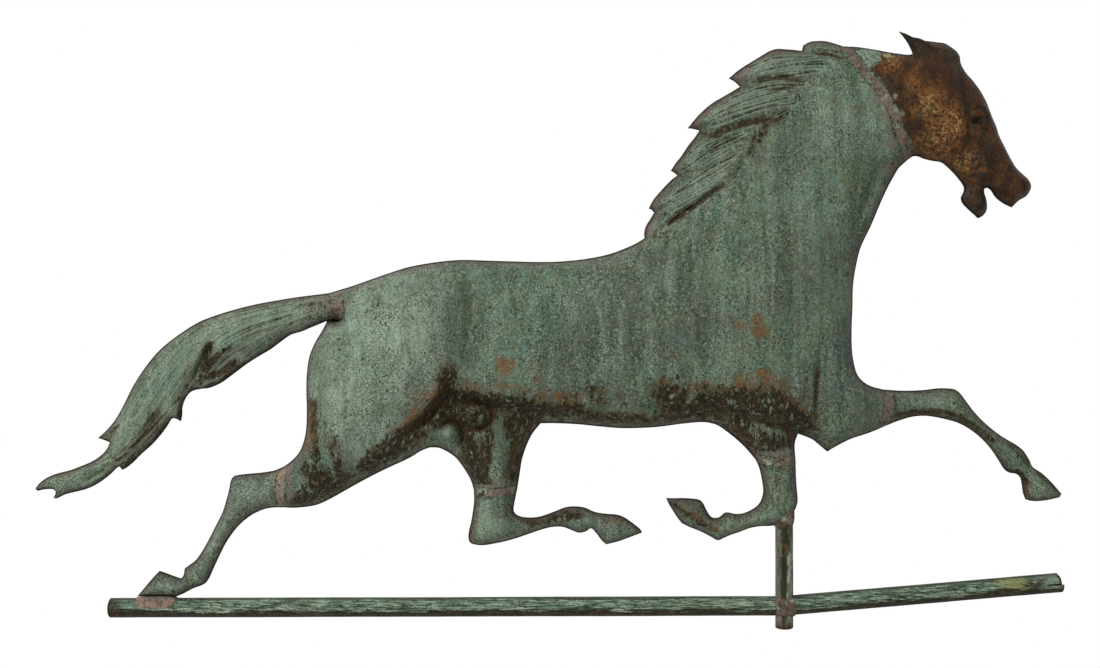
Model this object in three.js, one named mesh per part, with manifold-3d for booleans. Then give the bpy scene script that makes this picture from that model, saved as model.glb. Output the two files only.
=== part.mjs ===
// A trotting horse weathervane: pressed copper halves soldered together, a cast head,
// and a pair of bars on an upright tube that turns about a pointed spindle.
// Millimetres. +X is the way the horse faces, +Z is up, and -Y is its near side.
// The origin is the foot of the spindle.

import * as THREE from "three";
import { mergeVertices } from "three/addons/utils/BufferGeometryUtils.js";
import Module from "manifold-3d";

const wasm = await Module();
wasm.setup();

// Driving sizes
const HORSE_LENGTH = 924; // tip of the tail to the toe of the reaching foreleg
const HORSE_DEPTH = 88; // across the haunches, its widest
const SHEET = 1; // copper of the pressed halves
const CAST_WALL = 4; // wall of the cast head
const EAR_SPACING = 21; // between the middles of the two ears
const SEAT = 0.3; // room between two pieces that are soldered together
const SEAM_WIDTH = 9; // solder band at the top of each leg
const NECK_SEAM_WIDTH = 10; // solder band between neck and head
const TAIL_SEAM_WIDTH = 15; // solder band round the tail's root
const SPINDLE_DIAMETER = 12.7;
const SPINDLE_POINT = 9; // height of its cone
const RUNNING_ROOM = 0.5; // round the spindle, inside its tube
const TUBE_WALL = 1.1;
const TUBE_FOOT = 0.5; // the tube hangs clear of what the spindle stands on
const TUBE_IN_KNEE = 8; // how far it passes into the folded knee
const CAP_HEIGHT = 10; // pivot cap in the top of the tube
const BAR_DIAMETER = 17.4;
const BAR_WALL = 1.5;
const BAR_HEIGHT = 20.2; // where the bars' axes cross the tube, above the foot
const REAR_BAR_LENGTH = 605; // from the spindle's axis
const REAR_BAR_DROOP = 0.17; // degrees
const FRONT_BAR_LENGTH = 250;
const FRONT_BAR_RISE = 4.85; // degrees
const END_CAP_DOME = 2.6; // cap on the rear bar's end
const END_CAP_DEPTH = 12; // how far that cap sits in the bar
const LINER_WALL = 1.2;
const LINER_LENGTH = 46;
const LINER_INSET = 1.5; // the liner stops just inside the bar's longer lip
const SLIT_LENGTH = 15; // open seam at the front bar's mouth
const SLIT_WIDTH = 1.2;
const MOUTH_CUTBACK = 5.5; // the upper lip of that mouth is shorter
const SOLDER_THICKNESS = 1.2; // of the pad that holds the hoof
const CROSS_SOLDER_REACH = 16; // solder at the crossing, along the bars
const CROSS_SOLDER_PROUD = 3.4; // and beyond them, all round
const KNEE_SOLDER_HEIGHT = 9;
const KNEE_SOLDER_SPREAD = 4;
const OVERRUN = 6; // cutters pass what they cut by this much

// Places in the photograph, in its pixels
const HORSE_LENGTH_PX = 1027;
const SPINDLE_PX = 784.2; // the spindle's axis
const HOOF_SEAT_PX = [157, 596]; // middle of the trailing hoof's sole, on the bar

// Facets
const TUBE_SIDES = 24;
const BODY_SIDES = 16;
const SKULL_SIDES = 14;
const LEG_SIDES = 10;
const LOCK_SIDES = 8;

// Worked out from these
const TUBE_RADIUS = SPINDLE_DIAMETER / 2 + RUNNING_ROOM + TUBE_WALL;
const BORE_RADIUS = SPINDLE_DIAMETER / 2 + RUNNING_ROOM;
const BAR_RADIUS = BAR_DIAMETER / 2;
const HALF_DEPTH = HORSE_DEPTH / 2;
const MM_PER_PX = HORSE_LENGTH / HORSE_LENGTH_PX;
const REACH = HORSE_LENGTH; // longer than any cut through the horse

const acrossPx = (px) => (px - SPINDLE_PX) * MM_PER_PX;

function barTop(x, tilt) {
  const slope = Math.tan(THREE.MathUtils.degToRad(tilt));
  return BAR_HEIGHT + slope * x + BAR_RADIUS;
}

const HOOF_SEAT_Z = barTop(acrossPx(HOOF_SEAT_PX[0]), REAR_BAR_DROOP) + SEAT + SOLDER_THICKNESS + SEAT;

const upPx = (px) => HOOF_SEAT_Z + (HOOF_SEAT_PX[1] - px) * MM_PER_PX;

const place = ([px, py]) => new THREE.Vector3(acrossPx(px), 0, upPx(py));

// Lofts. Each row of a station table is one cross-section: the pixels of its upper or
// rear edge, then the pixels of its lower or front edge. Both edges lie in the
// horse's middle plane. Each row of a depth table is a share of the way along the
// loft, then the near and the far half depth as shares of the horse's half depth.

const trunkPx = [
  [326, 301, 324, 322],
  [342, 290, 311, 352],
  [367, 281, 306, 392],
  [409, 267, 330, 432],
  [448, 261, 396, 443],
  [487, 261, 452, 441],
  [537, 262, 508, 429],
  [585, 259, 560, 424],
  [640, 242, 620, 428],
  [690, 222, 672, 425],
  [735, 215, 716, 424],
  [780, 220, 770, 428],
  [822, 238, 815, 424],
  [846, 266, 842, 398],
  [853, 300, 853, 360],
];
const trunkDepthShares = [
  [0, 0.2, 0.2],
  [0.07, 0.5, 0.5],
  [0.14, 0.77, 0.77],
  [0.24, 0.93, 0.93],
  [0.45, 0.9, 0.9],
  [0.7, 0.97, 0.97],
  [0.85, 0.88, 0.88],
  [1, 0.36, 0.36],
];

const neckPx = [
  [885, 52, 918, 157],
  [862, 48, 906, 160],
  [838, 43, 899, 167],
  [812, 42, 890, 184],
  [777, 54, 880, 204],
  [741, 88, 870, 227],
  [701, 133, 860, 249],
  [678, 176, 853, 285],
  [655, 213, 852, 316],
  [645, 250, 850, 345],
];
const neckDepthShares = [
  [0, 0.5, 0.5],
  [0.25, 0.53, 0.53],
  [0.6, 0.66, 0.66],
  [0.85, 0.78, 0.78],
  [1, 0.6, 0.6],
];

const maneLocksPx = [
  [[812, 42, 800, 96], [790, 50, 784, 93], [768, 52, 762, 90], [749, 64, 748, 87],
    [729, 78.4, 729.5, 79.4]],
  [[775, 80, 745, 160], [745, 84, 728, 142], [722, 98, 712, 134], [704, 110, 700, 131],
    [687.6, 128, 688.4, 129]],
  [[728, 118, 716, 200], [702, 132, 700, 186], [690, 143, 688, 178], [680, 157, 678, 174.5],
    [670.7, 170.3, 671.4, 171.3]],
  [[700, 168, 700, 228], [679, 176, 680, 218], [664, 187, 664, 214], [655, 197, 655, 212],
    [648.6, 208, 649.3, 209]],
  [[690, 200, 700, 250], [662, 212, 668, 244], [652, 218, 655, 241], [646, 227, 648, 238.5],
    [644.2, 233, 645, 237]],
];
const maneDepthShares = [
  [0, 0.5, 0.5],
  [0.5, 0.3, 0.3],
  [1, 0.05, 0.05],
];

const tailPx = [
  [372, 286, 360, 316],
  [348, 289, 340, 318],
  [328, 293, 324, 322],
  [302, 296.5, 302, 332],
  [280, 300, 280, 342],
  [258, 303.6, 262, 354],
  [237, 309, 248, 363],
  [215, 316, 235, 373],
  [194, 325, 222, 383],
  [176, 337, 207, 389],
  [159, 351, 192, 392],
  [146, 366, 184, 405],
  [133, 387, 174, 417],
  [122, 408, 162, 434],
  [113, 425, 148, 448],
  [108, 444, 134, 461],
  [97, 459, 116, 470],
  [80, 466.5, 98, 483.5],
  [62, 473, 78, 491],
  [47, 478, 56, 489.5],
  [35.5, 488, 37, 490.5],
];
const tailDepthShares = [
  [0, 0.46, 0.46],
  [0.2, 0.4, 0.4],
  [0.5, 0.34, 0.34],
  [0.8, 0.18, 0.18],
  [1, 0.05, 0.05],
];
const tailLocksPx = [
  [[150, 380, 160, 412], [129, 399, 142, 430], [115, 420, 126, 440], [106, 431.5, 113, 442],
    [98, 438, 99, 439.5]],
  [[96, 474, 104, 479], [80, 480, 84, 489], [66, 486, 68, 493.5], [53.8, 497, 54.8, 498.4]],
  [[134, 445, 152, 441], [126, 458, 140, 455], [121, 466, 130, 464], [122, 469, 124, 469]],
  [[176, 398, 192, 386], [174, 409, 186, 398], [174, 415, 182.4, 410], [180.2, 420.5, 181.2, 420]],
];
const tailLockDepthShares = [
  [0, 0.26, 0.26],
  [0.5, 0.16, 0.16],
  [1, 0.04, 0.04],
];

const trailingHindPx = [
  [330, 318, 500, 290],
  [312, 350, 480, 338],
  [306.5, 385, 462, 385],
  [306.5, 420, 435, 442],
  [304, 440, 396, 464],
  [298, 453, 362, 481],
  [291, 461.5, 328, 500],
  [284, 466, 306, 507],
  [276, 470, 284, 508],
  [262, 472.7, 268, 508.5],
  [246, 474, 258, 511.5],
  [233.8, 476.2, 250, 516],
  [228.5, 491, 240, 524],
  [222.6, 512, 232.5, 533.5],
  [213, 532, 226, 543],
  [202, 552, 218.5, 558],
  [193, 563, 211, 573.5],
  [184.7, 570, 204, 583.5],
  [181.5, 577.5, 194, 588],
  [172, 574.5, 184, 593],
  [160, 571, 175, 595.8],
  [153, 578, 163, 596],
  [145, 587, 150, 596],
  [136.6, 595.2, 137, 596],
];
const trailingHindDepthShares = [
  [0, 0.8, 0.7],
  [0.13, 1, 0.84],
  [0.24, 0.62, 0.55],
  [0.36, 0.33, 0.33],
  [0.5, 0.28, 0.28],
  [0.62, 0.22, 0.22],
  [0.72, 0.26, 0.26],
  [0.8, 0.24, 0.24],
  [0.9, 0.33, 0.33],
  [1, 0.24, 0.24],
];

const bentHindPx = [
  [425, 372, 575, 330],
  [428, 420, 562, 385],
  [440, 448, 541, 422],
  [455, 457, 531, 437],
  [466, 471, 524, 453],
  [472, 484, 520, 472],
  [474, 495, 517, 490],
  [472.5, 510, 514, 502],
  [470, 524, 514, 509],
  [468, 537, 517, 514.5],
  [472, 544, 524, 517],
  [484, 545, 532, 517.5],
  [500, 542.5, 539, 517],
  [518, 537.5, 546, 515],
  [534, 532, 554, 511.8],
  [551, 527, 563, 508],
  [564, 527, 572, 506.8],
  [578.6, 532.7, 584, 507.2],
  [590.5, 528.5, 594.6, 511.8],
  [597, 534, 603, 513.6],
  [606.3, 544, 616, 514.3],
  [620, 540.5, 625, 517.5],
  [632, 536.3, 634, 524],
  [641.6, 532.4, 641, 530.6],
];
const bentHindDepthShares = [
  [0, 0.7, 0.8],
  [0.1, 0.66, 0.84],
  [0.17, 0.38, 0.5],
  [0.26, 0.31, 0.31],
  [0.4, 0.28, 0.28],
  [0.6, 0.22, 0.22],
  [0.74, 0.26, 0.26],
  [0.79, 0.22, 0.22],
  [0.88, 0.33, 0.33],
  [1, 0.22, 0.22],
];

const reachingForePx = [
  [838, 322, 735, 405],
  [848, 342, 778, 425],
  [853.8, 361, 806, 437],
  [857, 374, 822, 448.5],
  [863, 382, 829, 451],
  [872, 387.5, 849, 440],
  [884, 390, 868, 433.6],
  [893, 390, 885, 426],
  [905, 391, 899.4, 420],
  [924, 390.4, 914, 416.3],
  [938, 388.5, 928, 416.3],
  [953, 388.8, 942, 418.5],
  [961, 395, 953, 421.5],
  [974.5, 412.7, 963, 425.5],
  [986.6, 424.8, 977, 434.5],
  [998.7, 434.5, 989, 446.6],
  [1010, 441, 999, 459],
  [1019, 446.5, 1004, 469],
  [1028, 458, 1014, 473.5],
  [1032.7, 467.2, 1021, 480],
  [1042.4, 473.3, 1022.5, 489],
  [1052, 483, 1026, 499.5],
  [1058, 490, 1044, 500.6],
  [1061.4, 494, 1058, 497.8],
];
const reachingForeDepthShares = [
  [0, 0.72, 0.5],
  [0.08, 0.94, 0.6],
  [0.2, 0.62, 0.46],
  [0.3, 0.31, 0.31],
  [0.48, 0.26, 0.26],
  [0.52, 0.28, 0.28],
  [0.66, 0.2, 0.2],
  [0.76, 0.25, 0.25],
  [0.83, 0.23, 0.23],
  [0.91, 0.32, 0.32],
  [1, 0.2, 0.2],
];

const foldedForePx = [
  [700, 380, 830, 375],
  [710, 416, 812, 420],
  [720.5, 427, 797.4, 433.6],
  [733.5, 437, 794.5, 441],
  [744, 446.5, 794.8, 449],
  [753, 455.5, 795.2, 457],
  [759, 466, 795.6, 467],
  [762.3, 480, 796, 480],
  [763.4, 490, 797, 491],
  [761, 501, 797.6, 501],
  [755, 507.5, 794, 511],
  [747, 512, 785, 521],
  [740, 514, 770, 525.5],
  [734, 513.6, 750, 528],
  [728, 512.2, 738.4, 532.3],
  [723, 514, 727, 536],
  [718.7, 517.9, 718.4, 540.6],
  [710.4, 517.6, 711, 536.8],
  [706, 509, 702, 532],
  [701.5, 501, 686, 525],
  [687, 498.2, 677, 517.6],
  [674, 498.4, 671, 508],
  [666.5, 498.3, 667.5, 500.5],
];
const foldedForeDepthShares = [
  [0, 0.66, 0.74],
  [0.08, 0.6, 0.8],
  [0.16, 0.38, 0.5],
  [0.26, 0.31, 0.31],
  [0.42, 0.31, 0.31],
  [0.6, 0.23, 0.23],
  [0.7, 0.25, 0.25],
  [0.78, 0.22, 0.22],
  [0.88, 0.32, 0.32],
  [1, 0.22, 0.22],
];

const skullPx = [
  [846, 45, 899, 161],
  [872, 50, 912, 156],
  [900, 52, 920, 158],
  [922, 41, 927, 160],
  [938, 43, 934, 161.5],
  [953, 49, 941, 163],
  [960.5, 62, 947, 167.5],
  [968, 74, 951, 171.5],
  [980, 90, 955, 176],
  [989, 109.5, 961, 182],
  [996, 127, 968, 187],
  [1003, 144, 978, 189],
  [1011, 159, 987, 189.5],
  [1022.4, 174.2, 993, 195],
  [1030, 183, 1001, 202],
  [1028, 193, 1009, 206],
  [1020, 200, 1012, 207],
];
const skullDepthShares = [
  [0, 0.5, 0.5],
  [0.3, 0.54, 0.54],
  [0.5, 0.52, 0.52],
  [0.75, 0.36, 0.36],
  [0.88, 0.34, 0.34],
  [1, 0.16, 0.16],
];
const jawPx = [
  [1000, 160, 953, 176],
  [992, 177, 962, 188],
  [984.5, 190, 961, 196.5],
  [985.8, 200, 962.5, 203.5],
  [986.7, 209, 969.5, 211],
  [983, 215.5, 976.5, 217.5],
];
const jawDepthShares = [
  [0, 0.34, 0.34],
  [0.6, 0.26, 0.26],
  [1, 0.12, 0.12],
];
const earPx = [
  [936, 52, 918, 70],
  [926, 41.5, 913, 57],
  [919, 38.3, 910, 47.5],
  [912.5, 37, 906.3, 41],
  [905.5, 33.8, 902.4, 36.2],
  [899.2, 31.4, 899, 31.8],
];
const earDepthShares = [
  [0, 0.15, 0.15],
  [0.35, 0.13, 0.13],
  [1, 0.02, 0.02],
];

// Solder seams: the two ends of each band's middle line, in pixels. Looking from the
// first end to the second, the free end of the limb is on the right.
const neckSeamPx = [[901.4, 149.3], [843, 46.5]];
const tailSeamPx = [[338, 290], [338, 322]];
const trailingHindSeamPx = [[284.5, 465], [284.5, 508]];
const bentHindSeamPx = [[472, 489.5], [518, 489]];
const reachingForeSeamPx = [[876, 430], [888, 389]];
const foldedForeSeamPx = [[753, 459], [796, 459]];

const HOOF_PAD_PX = [137, 177]; // ends of the hoof's solder pad, along the bar

// Manifold helpers

function solid(geometry) {
  const bare = geometry.clone();
  bare.deleteAttribute("normal");
  bare.deleteAttribute("uv");
  const merged = mergeVertices(bare);
  return new wasm.Manifold(new wasm.Mesh({
    numProp: 3,
    vertProperties: new Float32Array(merged.attributes.position.array),
    triVerts: new Uint32Array(merged.index.array),
  }));
}

function geometryOf(manifold) {
  const mesh = manifold.getMesh();
  const geometry = new THREE.BufferGeometry();
  geometry.setAttribute("position", new THREE.BufferAttribute(mesh.vertProperties, 3));
  geometry.setIndex(new THREE.BufferAttribute(mesh.triVerts, 1));
  geometry.computeVertexNormals();
  return geometry;
}

const joined = (solids) => solids.reduce((whole, piece) => whole.add(piece));

// Cross-sections

function depthsAt(shares, along) {
  const row = shares.findIndex((knot) => knot[0] >= along);
  if (row <= 0) {
    return shares.at(row).slice(1);
  }
  const [before, after] = [shares[row - 1], shares[row]];
  const part = THREE.MathUtils.smoothstep(along, before[0], after[0]);
  return [1, 2].map((side) => THREE.MathUtils.lerp(before[side], after[side], part));
}

// The stations of a loft: middle, half height and its direction, near and far depth.
function stationsOf(edgesPx, depthShares) {
  return edgesPx.map(([upperX, upperY, lowerX, lowerY], row) => {
    const upper = place([upperX, upperY]);
    const lower = place([lowerX, lowerY]);
    const [near, far] = depthsAt(depthShares, row / (edgesPx.length - 1));
    return {
      middle: upper.clone().add(lower).multiplyScalar(1 / 2),
      up: upper.clone().sub(lower).normalize(),
      height: upper.distanceTo(lower) / 2,
      near: near * HALF_DEPTH,
      far: far * HALF_DEPTH,
    };
  });
}

const widened = (station, room) => ({
  ...station,
  height: station.height + room,
  near: station.near + room,
  far: station.far + room,
});

// A loft's stations drawn in by a wall on every side, without the rows that close its
// ends: both ends of the trunk, and only the free end of a limb or the head.
const insideOf = (stations, wall, closedRows = 0) => stations
  .slice(closedRows, -1)
  .filter((station) => Math.min(station.height, station.near, station.far) > 2 * wall)
  .map((station) => widened(station, -wall));

function ringOf(station, sides, aside) {
  return Array.from({ length: sides }, (_, corner) => {
    const turn = (2 * Math.PI * corner) / sides;
    const across = Math.sin(turn);
    const depth = across > 0 ? station.near : station.far;
    const point = station.middle.clone().addScaledVector(station.up, station.height * Math.cos(turn));
    point.y = aside - depth * across;
    return point;
  });
}

// A closed body through a row of stations, with a flat fan on each end.
function loft(stations, sides, aside = 0) {
  const points = stations.flatMap((station) => ringOf(station, sides, aside));
  const faces = [];
  for (let ring = 0; ring < stations.length - 1; ring += 1) {
    for (let side = 0; side < sides; side += 1) {
      const a = ring * sides + side;
      const b = ring * sides + ((side + 1) % sides);
      faces.push(a, b, a + sides, b, b + sides, a + sides);
    }
  }
  for (const ring of [0, stations.length - 1]) {
    const hub = points.length;
    points.push(stations[ring].middle.clone().setY(aside));
    for (let side = 0; side < sides; side += 1) {
      const a = ring * sides + side;
      const b = ring * sides + ((side + 1) % sides);
      faces.push(hub, ...(ring ? [a, b] : [b, a]));
    }
  }
  const geometry = new THREE.BufferGeometry().setFromPoints(points);
  geometry.setIndex(faces);
  const body = solid(geometry);
  if (body.volume() > 0) {
    return body;
  }
  geometry.setIndex(faces.toReversed());
  return solid(geometry);
}

// Cutters

const box = (width, depth, height, x, y, z) => (
  solid(new THREE.BoxGeometry(width, depth, height).translate(x, y, z))
);

const nearSide = box(2 * REACH, REACH, 2 * REACH, 0, -REACH / 2, 0);
const farSide = box(2 * REACH, REACH, 2 * REACH, 0, REACH / 2, 0);

// A slab across a limb, along its seam, moved towards the free end by a shift.
function slab([fromPx, toPx], width, length, shift = 0) {
  const from = place(fromPx);
  const to = place(toPx);
  const middle = from.clone().add(to).multiplyScalar(1 / 2);
  const lean = Math.atan2(to.x - from.x, to.z - from.z);
  const geometry = new THREE.BoxGeometry(width, REACH, length).translate(shift, 0, 0);
  return solid(geometry.rotateY(lean).translate(middle.x, 0, middle.z));
}

function rod(radius, bottom, top) {
  const geometry = new THREE.CylinderGeometry(radius, radius, top - bottom, TUBE_SIDES);
  return solid(geometry.rotateX(Math.PI / 2).translate(0, 0, (bottom + top) / 2));
}

// A body turned about the upright axis, from rows of radius and height.
function turned(profile) {
  const points = profile.map(([radius, height]) => new THREE.Vector2(radius, height));
  return solid(new THREE.LatheGeometry(points, TUBE_SIDES).rotateX(Math.PI / 2));
}

// Limbs are lofted whole, hollowed, and parted at their solder seams.

function limb(edgesPx, depthShares, seamPx, seamWidth = SEAM_WIDTH, sides = LEG_SIDES) {
  const stations = stationsOf(edgesPx, depthShares);
  const outer = loft(stations, sides);
  const inner = loft(insideOf(stations, SHEET), sides);
  const past = REACH / 2 + seamWidth / 2 + SEAT;
  return {
    stations,
    inner,
    rooted: outer.intersect(slab(seamPx, REACH, 2 * REACH, -past)),
    free: outer.subtract(inner).intersect(slab(seamPx, REACH, 2 * REACH, past)),
    collar: outer.subtract(inner).intersect(slab(seamPx, seamWidth, 2 * HORSE_DEPTH)),
  };
}

const neck = limb(neckPx, neckDepthShares, neckSeamPx, NECK_SEAM_WIDTH, BODY_SIDES);
const tail = limb(tailPx, tailDepthShares, tailSeamPx, TAIL_SEAM_WIDTH);
const trailingHind = limb(trailingHindPx, trailingHindDepthShares, trailingHindSeamPx);
const bentHind = limb(bentHindPx, bentHindDepthShares, bentHindSeamPx);
const reachingFore = limb(reachingForePx, reachingForeDepthShares, reachingForeSeamPx);
const foldedFore = limb(foldedForePx, foldedForeDepthShares, foldedForeSeamPx);

// The rump is cut open where the tail's root passes into it.
function tailOpening() {
  const front = acrossPx(tailSeamPx[0][0]) + TAIL_SEAM_WIDTH / 2 + SEAT;
  const root = loft(tail.stations.map((station) => widened(station, SEAT)), LEG_SIDES);
  return root.intersect(box(REACH, REACH, 2 * REACH, front - REACH / 2, 0, 0));
}

function bodyShell() {
  const trunkStations = stationsOf(trunkPx, trunkDepthShares);
  const trunk = loft(trunkStations, BODY_SIDES);
  const trunkInside = loft(insideOf(trunkStations, SHEET, 1), BODY_SIDES);
  const locks = maneLocksPx.map((edgesPx) => loft(stationsOf(edgesPx, maneDepthShares), LOCK_SIDES));
  const limbs = [neck, trailingHind, bentHind, reachingFore, foldedFore];
  const outside = joined([trunk, ...locks, ...limbs.map((part) => part.rooted)]);
  const inside = joined([trunkInside, ...limbs.map((part) => part.inner)]);
  return outside.subtract(inside).subtract(tailOpening());
}

function tailShell() {
  const locks = tailLocksPx.map((edgesPx) => loft(stationsOf(edgesPx, tailLockDepthShares), LOCK_SIDES));
  return joined([tail.free, ...locks.map((lock) => lock.subtract(tail.inner))]);
}

function castHead() {
  const skullStations = stationsOf(skullPx, skullDepthShares);
  const skull = loft(skullStations, SKULL_SIDES);
  const hollow = loft(insideOf(skullStations, CAST_WALL), SKULL_SIDES);
  const jaw = loft(stationsOf(jawPx, jawDepthShares), LEG_SIDES);
  const earStations = stationsOf(earPx, earDepthShares);
  const ears = [-1, 1].map((side) => loft(earStations, LOCK_SIDES, side * EAR_SPACING / 2));
  const past = REACH / 2 + NECK_SEAM_WIDTH / 2 + SEAT;
  const headSide = slab(neckSeamPx, REACH, 2 * REACH, past);
  return joined([skull, jaw, ...ears]).subtract(hollow).intersect(headSide);
}

// Upright tube, its pivot cap and the spindle inside it

// The knee's underside, where the tube passes into it.
function kneeUnderside() {
  const under = foldedFore.stations
    .map(({ middle, up, height }) => middle.clone().addScaledVector(up, -height))
    .filter((point) => Math.abs(point.x) < TUBE_RADIUS + KNEE_SOLDER_SPREAD);
  return Math.min(...under.map((point) => point.z));
}

const tubeTop = kneeUnderside() + TUBE_IN_KNEE;
const capBottom = tubeTop - CAP_HEIGHT;
const capDimple = CAP_HEIGHT / 2;
const spindleTop = capBottom + capDimple - SEAT;

const spindleTube = () => rod(TUBE_RADIUS, TUBE_FOOT, tubeTop)
  .subtract(rod(BORE_RADIUS, TUBE_FOOT - OVERRUN, tubeTop + OVERRUN));

function pivotCap() {
  const spread = (SPINDLE_DIAMETER / 2) * (capDimple / SPINDLE_POINT);
  return turned([
    [0, capBottom + capDimple],
    [spread, capBottom],
    [BORE_RADIUS - SEAT, capBottom],
    [BORE_RADIUS - SEAT, tubeTop],
    [0, tubeTop],
  ]);
}

const spindle = () => turned([
  [0, 0],
  [SPINDLE_DIAMETER / 2, 0],
  [SPINDLE_DIAMETER / 2, spindleTop - SPINDLE_POINT],
  [0, spindleTop],
]);

// Bars: each is made along +X from the upright axis and turned to its tilt.

function alongBar(piece, direction, tilt) {
  const turn = direction > 0 ? -tilt : 180 - tilt;
  return piece.rotate([0, turn, 0]).translate([0, 0, BAR_HEIGHT]);
}

function lying(profile) {
  const points = profile.map(([radius, reach]) => new THREE.Vector2(radius, reach));
  const geometry = new THREE.LatheGeometry(points, TUBE_SIDES);
  return solid(geometry.rotateZ(-Math.PI / 2));
}

const pipe = (radius, wall, from, to) => lying([
  [radius - wall, from],
  [radius, from],
  [radius, to],
  [radius - wall, to],
  [radius - wall, from],
]);

const tubeRoom = () => rod(TUBE_RADIUS + SEAT, -OVERRUN, tubeTop + OVERRUN);

// The bars' inner ends are saddled round the tube.
const saddle = TUBE_RADIUS / 2;

const rearBar = () => (
  alongBar(pipe(BAR_RADIUS, BAR_WALL, saddle, REAR_BAR_LENGTH), -1, REAR_BAR_DROOP)
    .subtract(tubeRoom())
);

function rearBarCap() {
  const fit = BAR_RADIUS - BAR_WALL - SEAT;
  const face = REAR_BAR_LENGTH + SEAT;
  const profile = [
    [0, REAR_BAR_LENGTH - END_CAP_DEPTH],
    [fit, REAR_BAR_LENGTH - END_CAP_DEPTH],
    [fit, face],
    [BAR_RADIUS, face],
  ];
  const domeSteps = [1 / 3, 2 / 3, 1];
  const dome = domeSteps.map((step) => [
    BAR_RADIUS * Math.cos((step * Math.PI) / 2),
    face + END_CAP_DOME * Math.sin((step * Math.PI) / 2),
  ]);
  dome[dome.length - 1][0] = 0;
  return alongBar(lying([...profile, ...dome]), -1, REAR_BAR_DROOP);
}

function frontBar() {
  const mouth = FRONT_BAR_LENGTH;
  const slit = box(2 * SLIT_LENGTH, BAR_DIAMETER, SLIT_WIDTH, mouth, -BAR_RADIUS, 0);
  const lip = box(2 * MOUTH_CUTBACK, 2 * BAR_DIAMETER, BAR_DIAMETER, mouth, 0, BAR_RADIUS);
  const bar = pipe(BAR_RADIUS, BAR_WALL, saddle, mouth).subtract(slit).subtract(lip);
  return alongBar(bar, 1, FRONT_BAR_RISE).subtract(tubeRoom());
}

function frontBarLiner() {
  const radius = BAR_RADIUS - BAR_WALL - SEAT;
  const liner = pipe(radius, LINER_WALL, FRONT_BAR_LENGTH - LINER_LENGTH, FRONT_BAR_LENGTH - LINER_INSET);
  return alongBar(liner, 1, FRONT_BAR_RISE);
}

// Solder

const barRoom = (direction, tilt) => alongBar(lying([
  [0, 0],
  [BAR_RADIUS + SEAT, 0],
  [BAR_RADIUS + SEAT, REACH],
  [0, REACH],
]), direction, tilt);

function crossSolder() {
  const reach = TUBE_RADIUS + CROSS_SOLDER_REACH / 2;
  const swell = BAR_RADIUS + CROSS_SOLDER_PROUD;
  const blob = new THREE.SphereGeometry(1, TUBE_SIDES, LEG_SIDES);
  blob.scale(reach, swell, swell).translate(0, 0, BAR_HEIGHT);
  return solid(blob)
    .subtract(tubeRoom())
    .subtract(barRoom(-1, REAR_BAR_DROOP))
    .subtract(barRoom(1, FRONT_BAR_RISE));
}

function kneeSolder() {
  const top = kneeUnderside();
  const ring = turned([
    [TUBE_RADIUS + SEAT, top - KNEE_SOLDER_HEIGHT],
    [TUBE_RADIUS + SEAT + SOLDER_THICKNESS / 2, top - KNEE_SOLDER_HEIGHT],
    [TUBE_RADIUS + KNEE_SOLDER_SPREAD, top],
    [TUBE_RADIUS + SEAT, top],
    [TUBE_RADIUS + SEAT, top - KNEE_SOLDER_HEIGHT],
  ]);
  const knee = foldedFore.stations.map((station) => widened(station, SEAT));
  return ring.subtract(loft(knee, LEG_SIDES));
}

function hoofSolderPad() {
  const [from, to] = HOOF_PAD_PX.map(acrossPx);
  const inner = BAR_RADIUS + SEAT;
  const pad = alongBar(pipe(inner + SOLDER_THICKNESS, SOLDER_THICKNESS, -to, -from), -1, REAR_BAR_DROOP);
  const upperHalf = box(2 * REACH, REACH, REACH, 0, 0, BAR_HEIGHT + REACH / 2);
  const hoof = trailingHind.stations.map((station) => widened(station, SEAT));
  return pad.intersect(upperHalf).subtract(loft(hoof, LEG_SIDES));
}

// Assembly

const finish = (color, roughness, metalness) => (
  new THREE.MeshStandardMaterial({ color, roughness, metalness })
);
const verdigris = () => finish(0x6f7f6d, 0.75, 0.25);
const castBrown = () => finish(0x4d3827, 0.7, 0.3);
const greySolder = () => finish(0x857a6b, 0.65, 0.35);
const darkTube = () => finish(0x4a4a38, 0.65, 0.4);
const iron = () => finish(0x45403b, 0.6, 0.6);

function named(name, manifold, material) {
  const mesh = new THREE.Mesh(geometryOf(manifold), material);
  mesh.name = name;
  return mesh;
}

function pressedPair(name, whole) {
  return [
    named(`${name}_near`, whole.intersect(nearSide), verdigris()),
    named(`${name}_far`, whole.intersect(farSide), verdigris()),
  ];
}

const kneeTubeRoom = rod(TUBE_RADIUS + SEAT, 0, tubeTop + SEAT);
const group = new THREE.Group();

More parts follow.
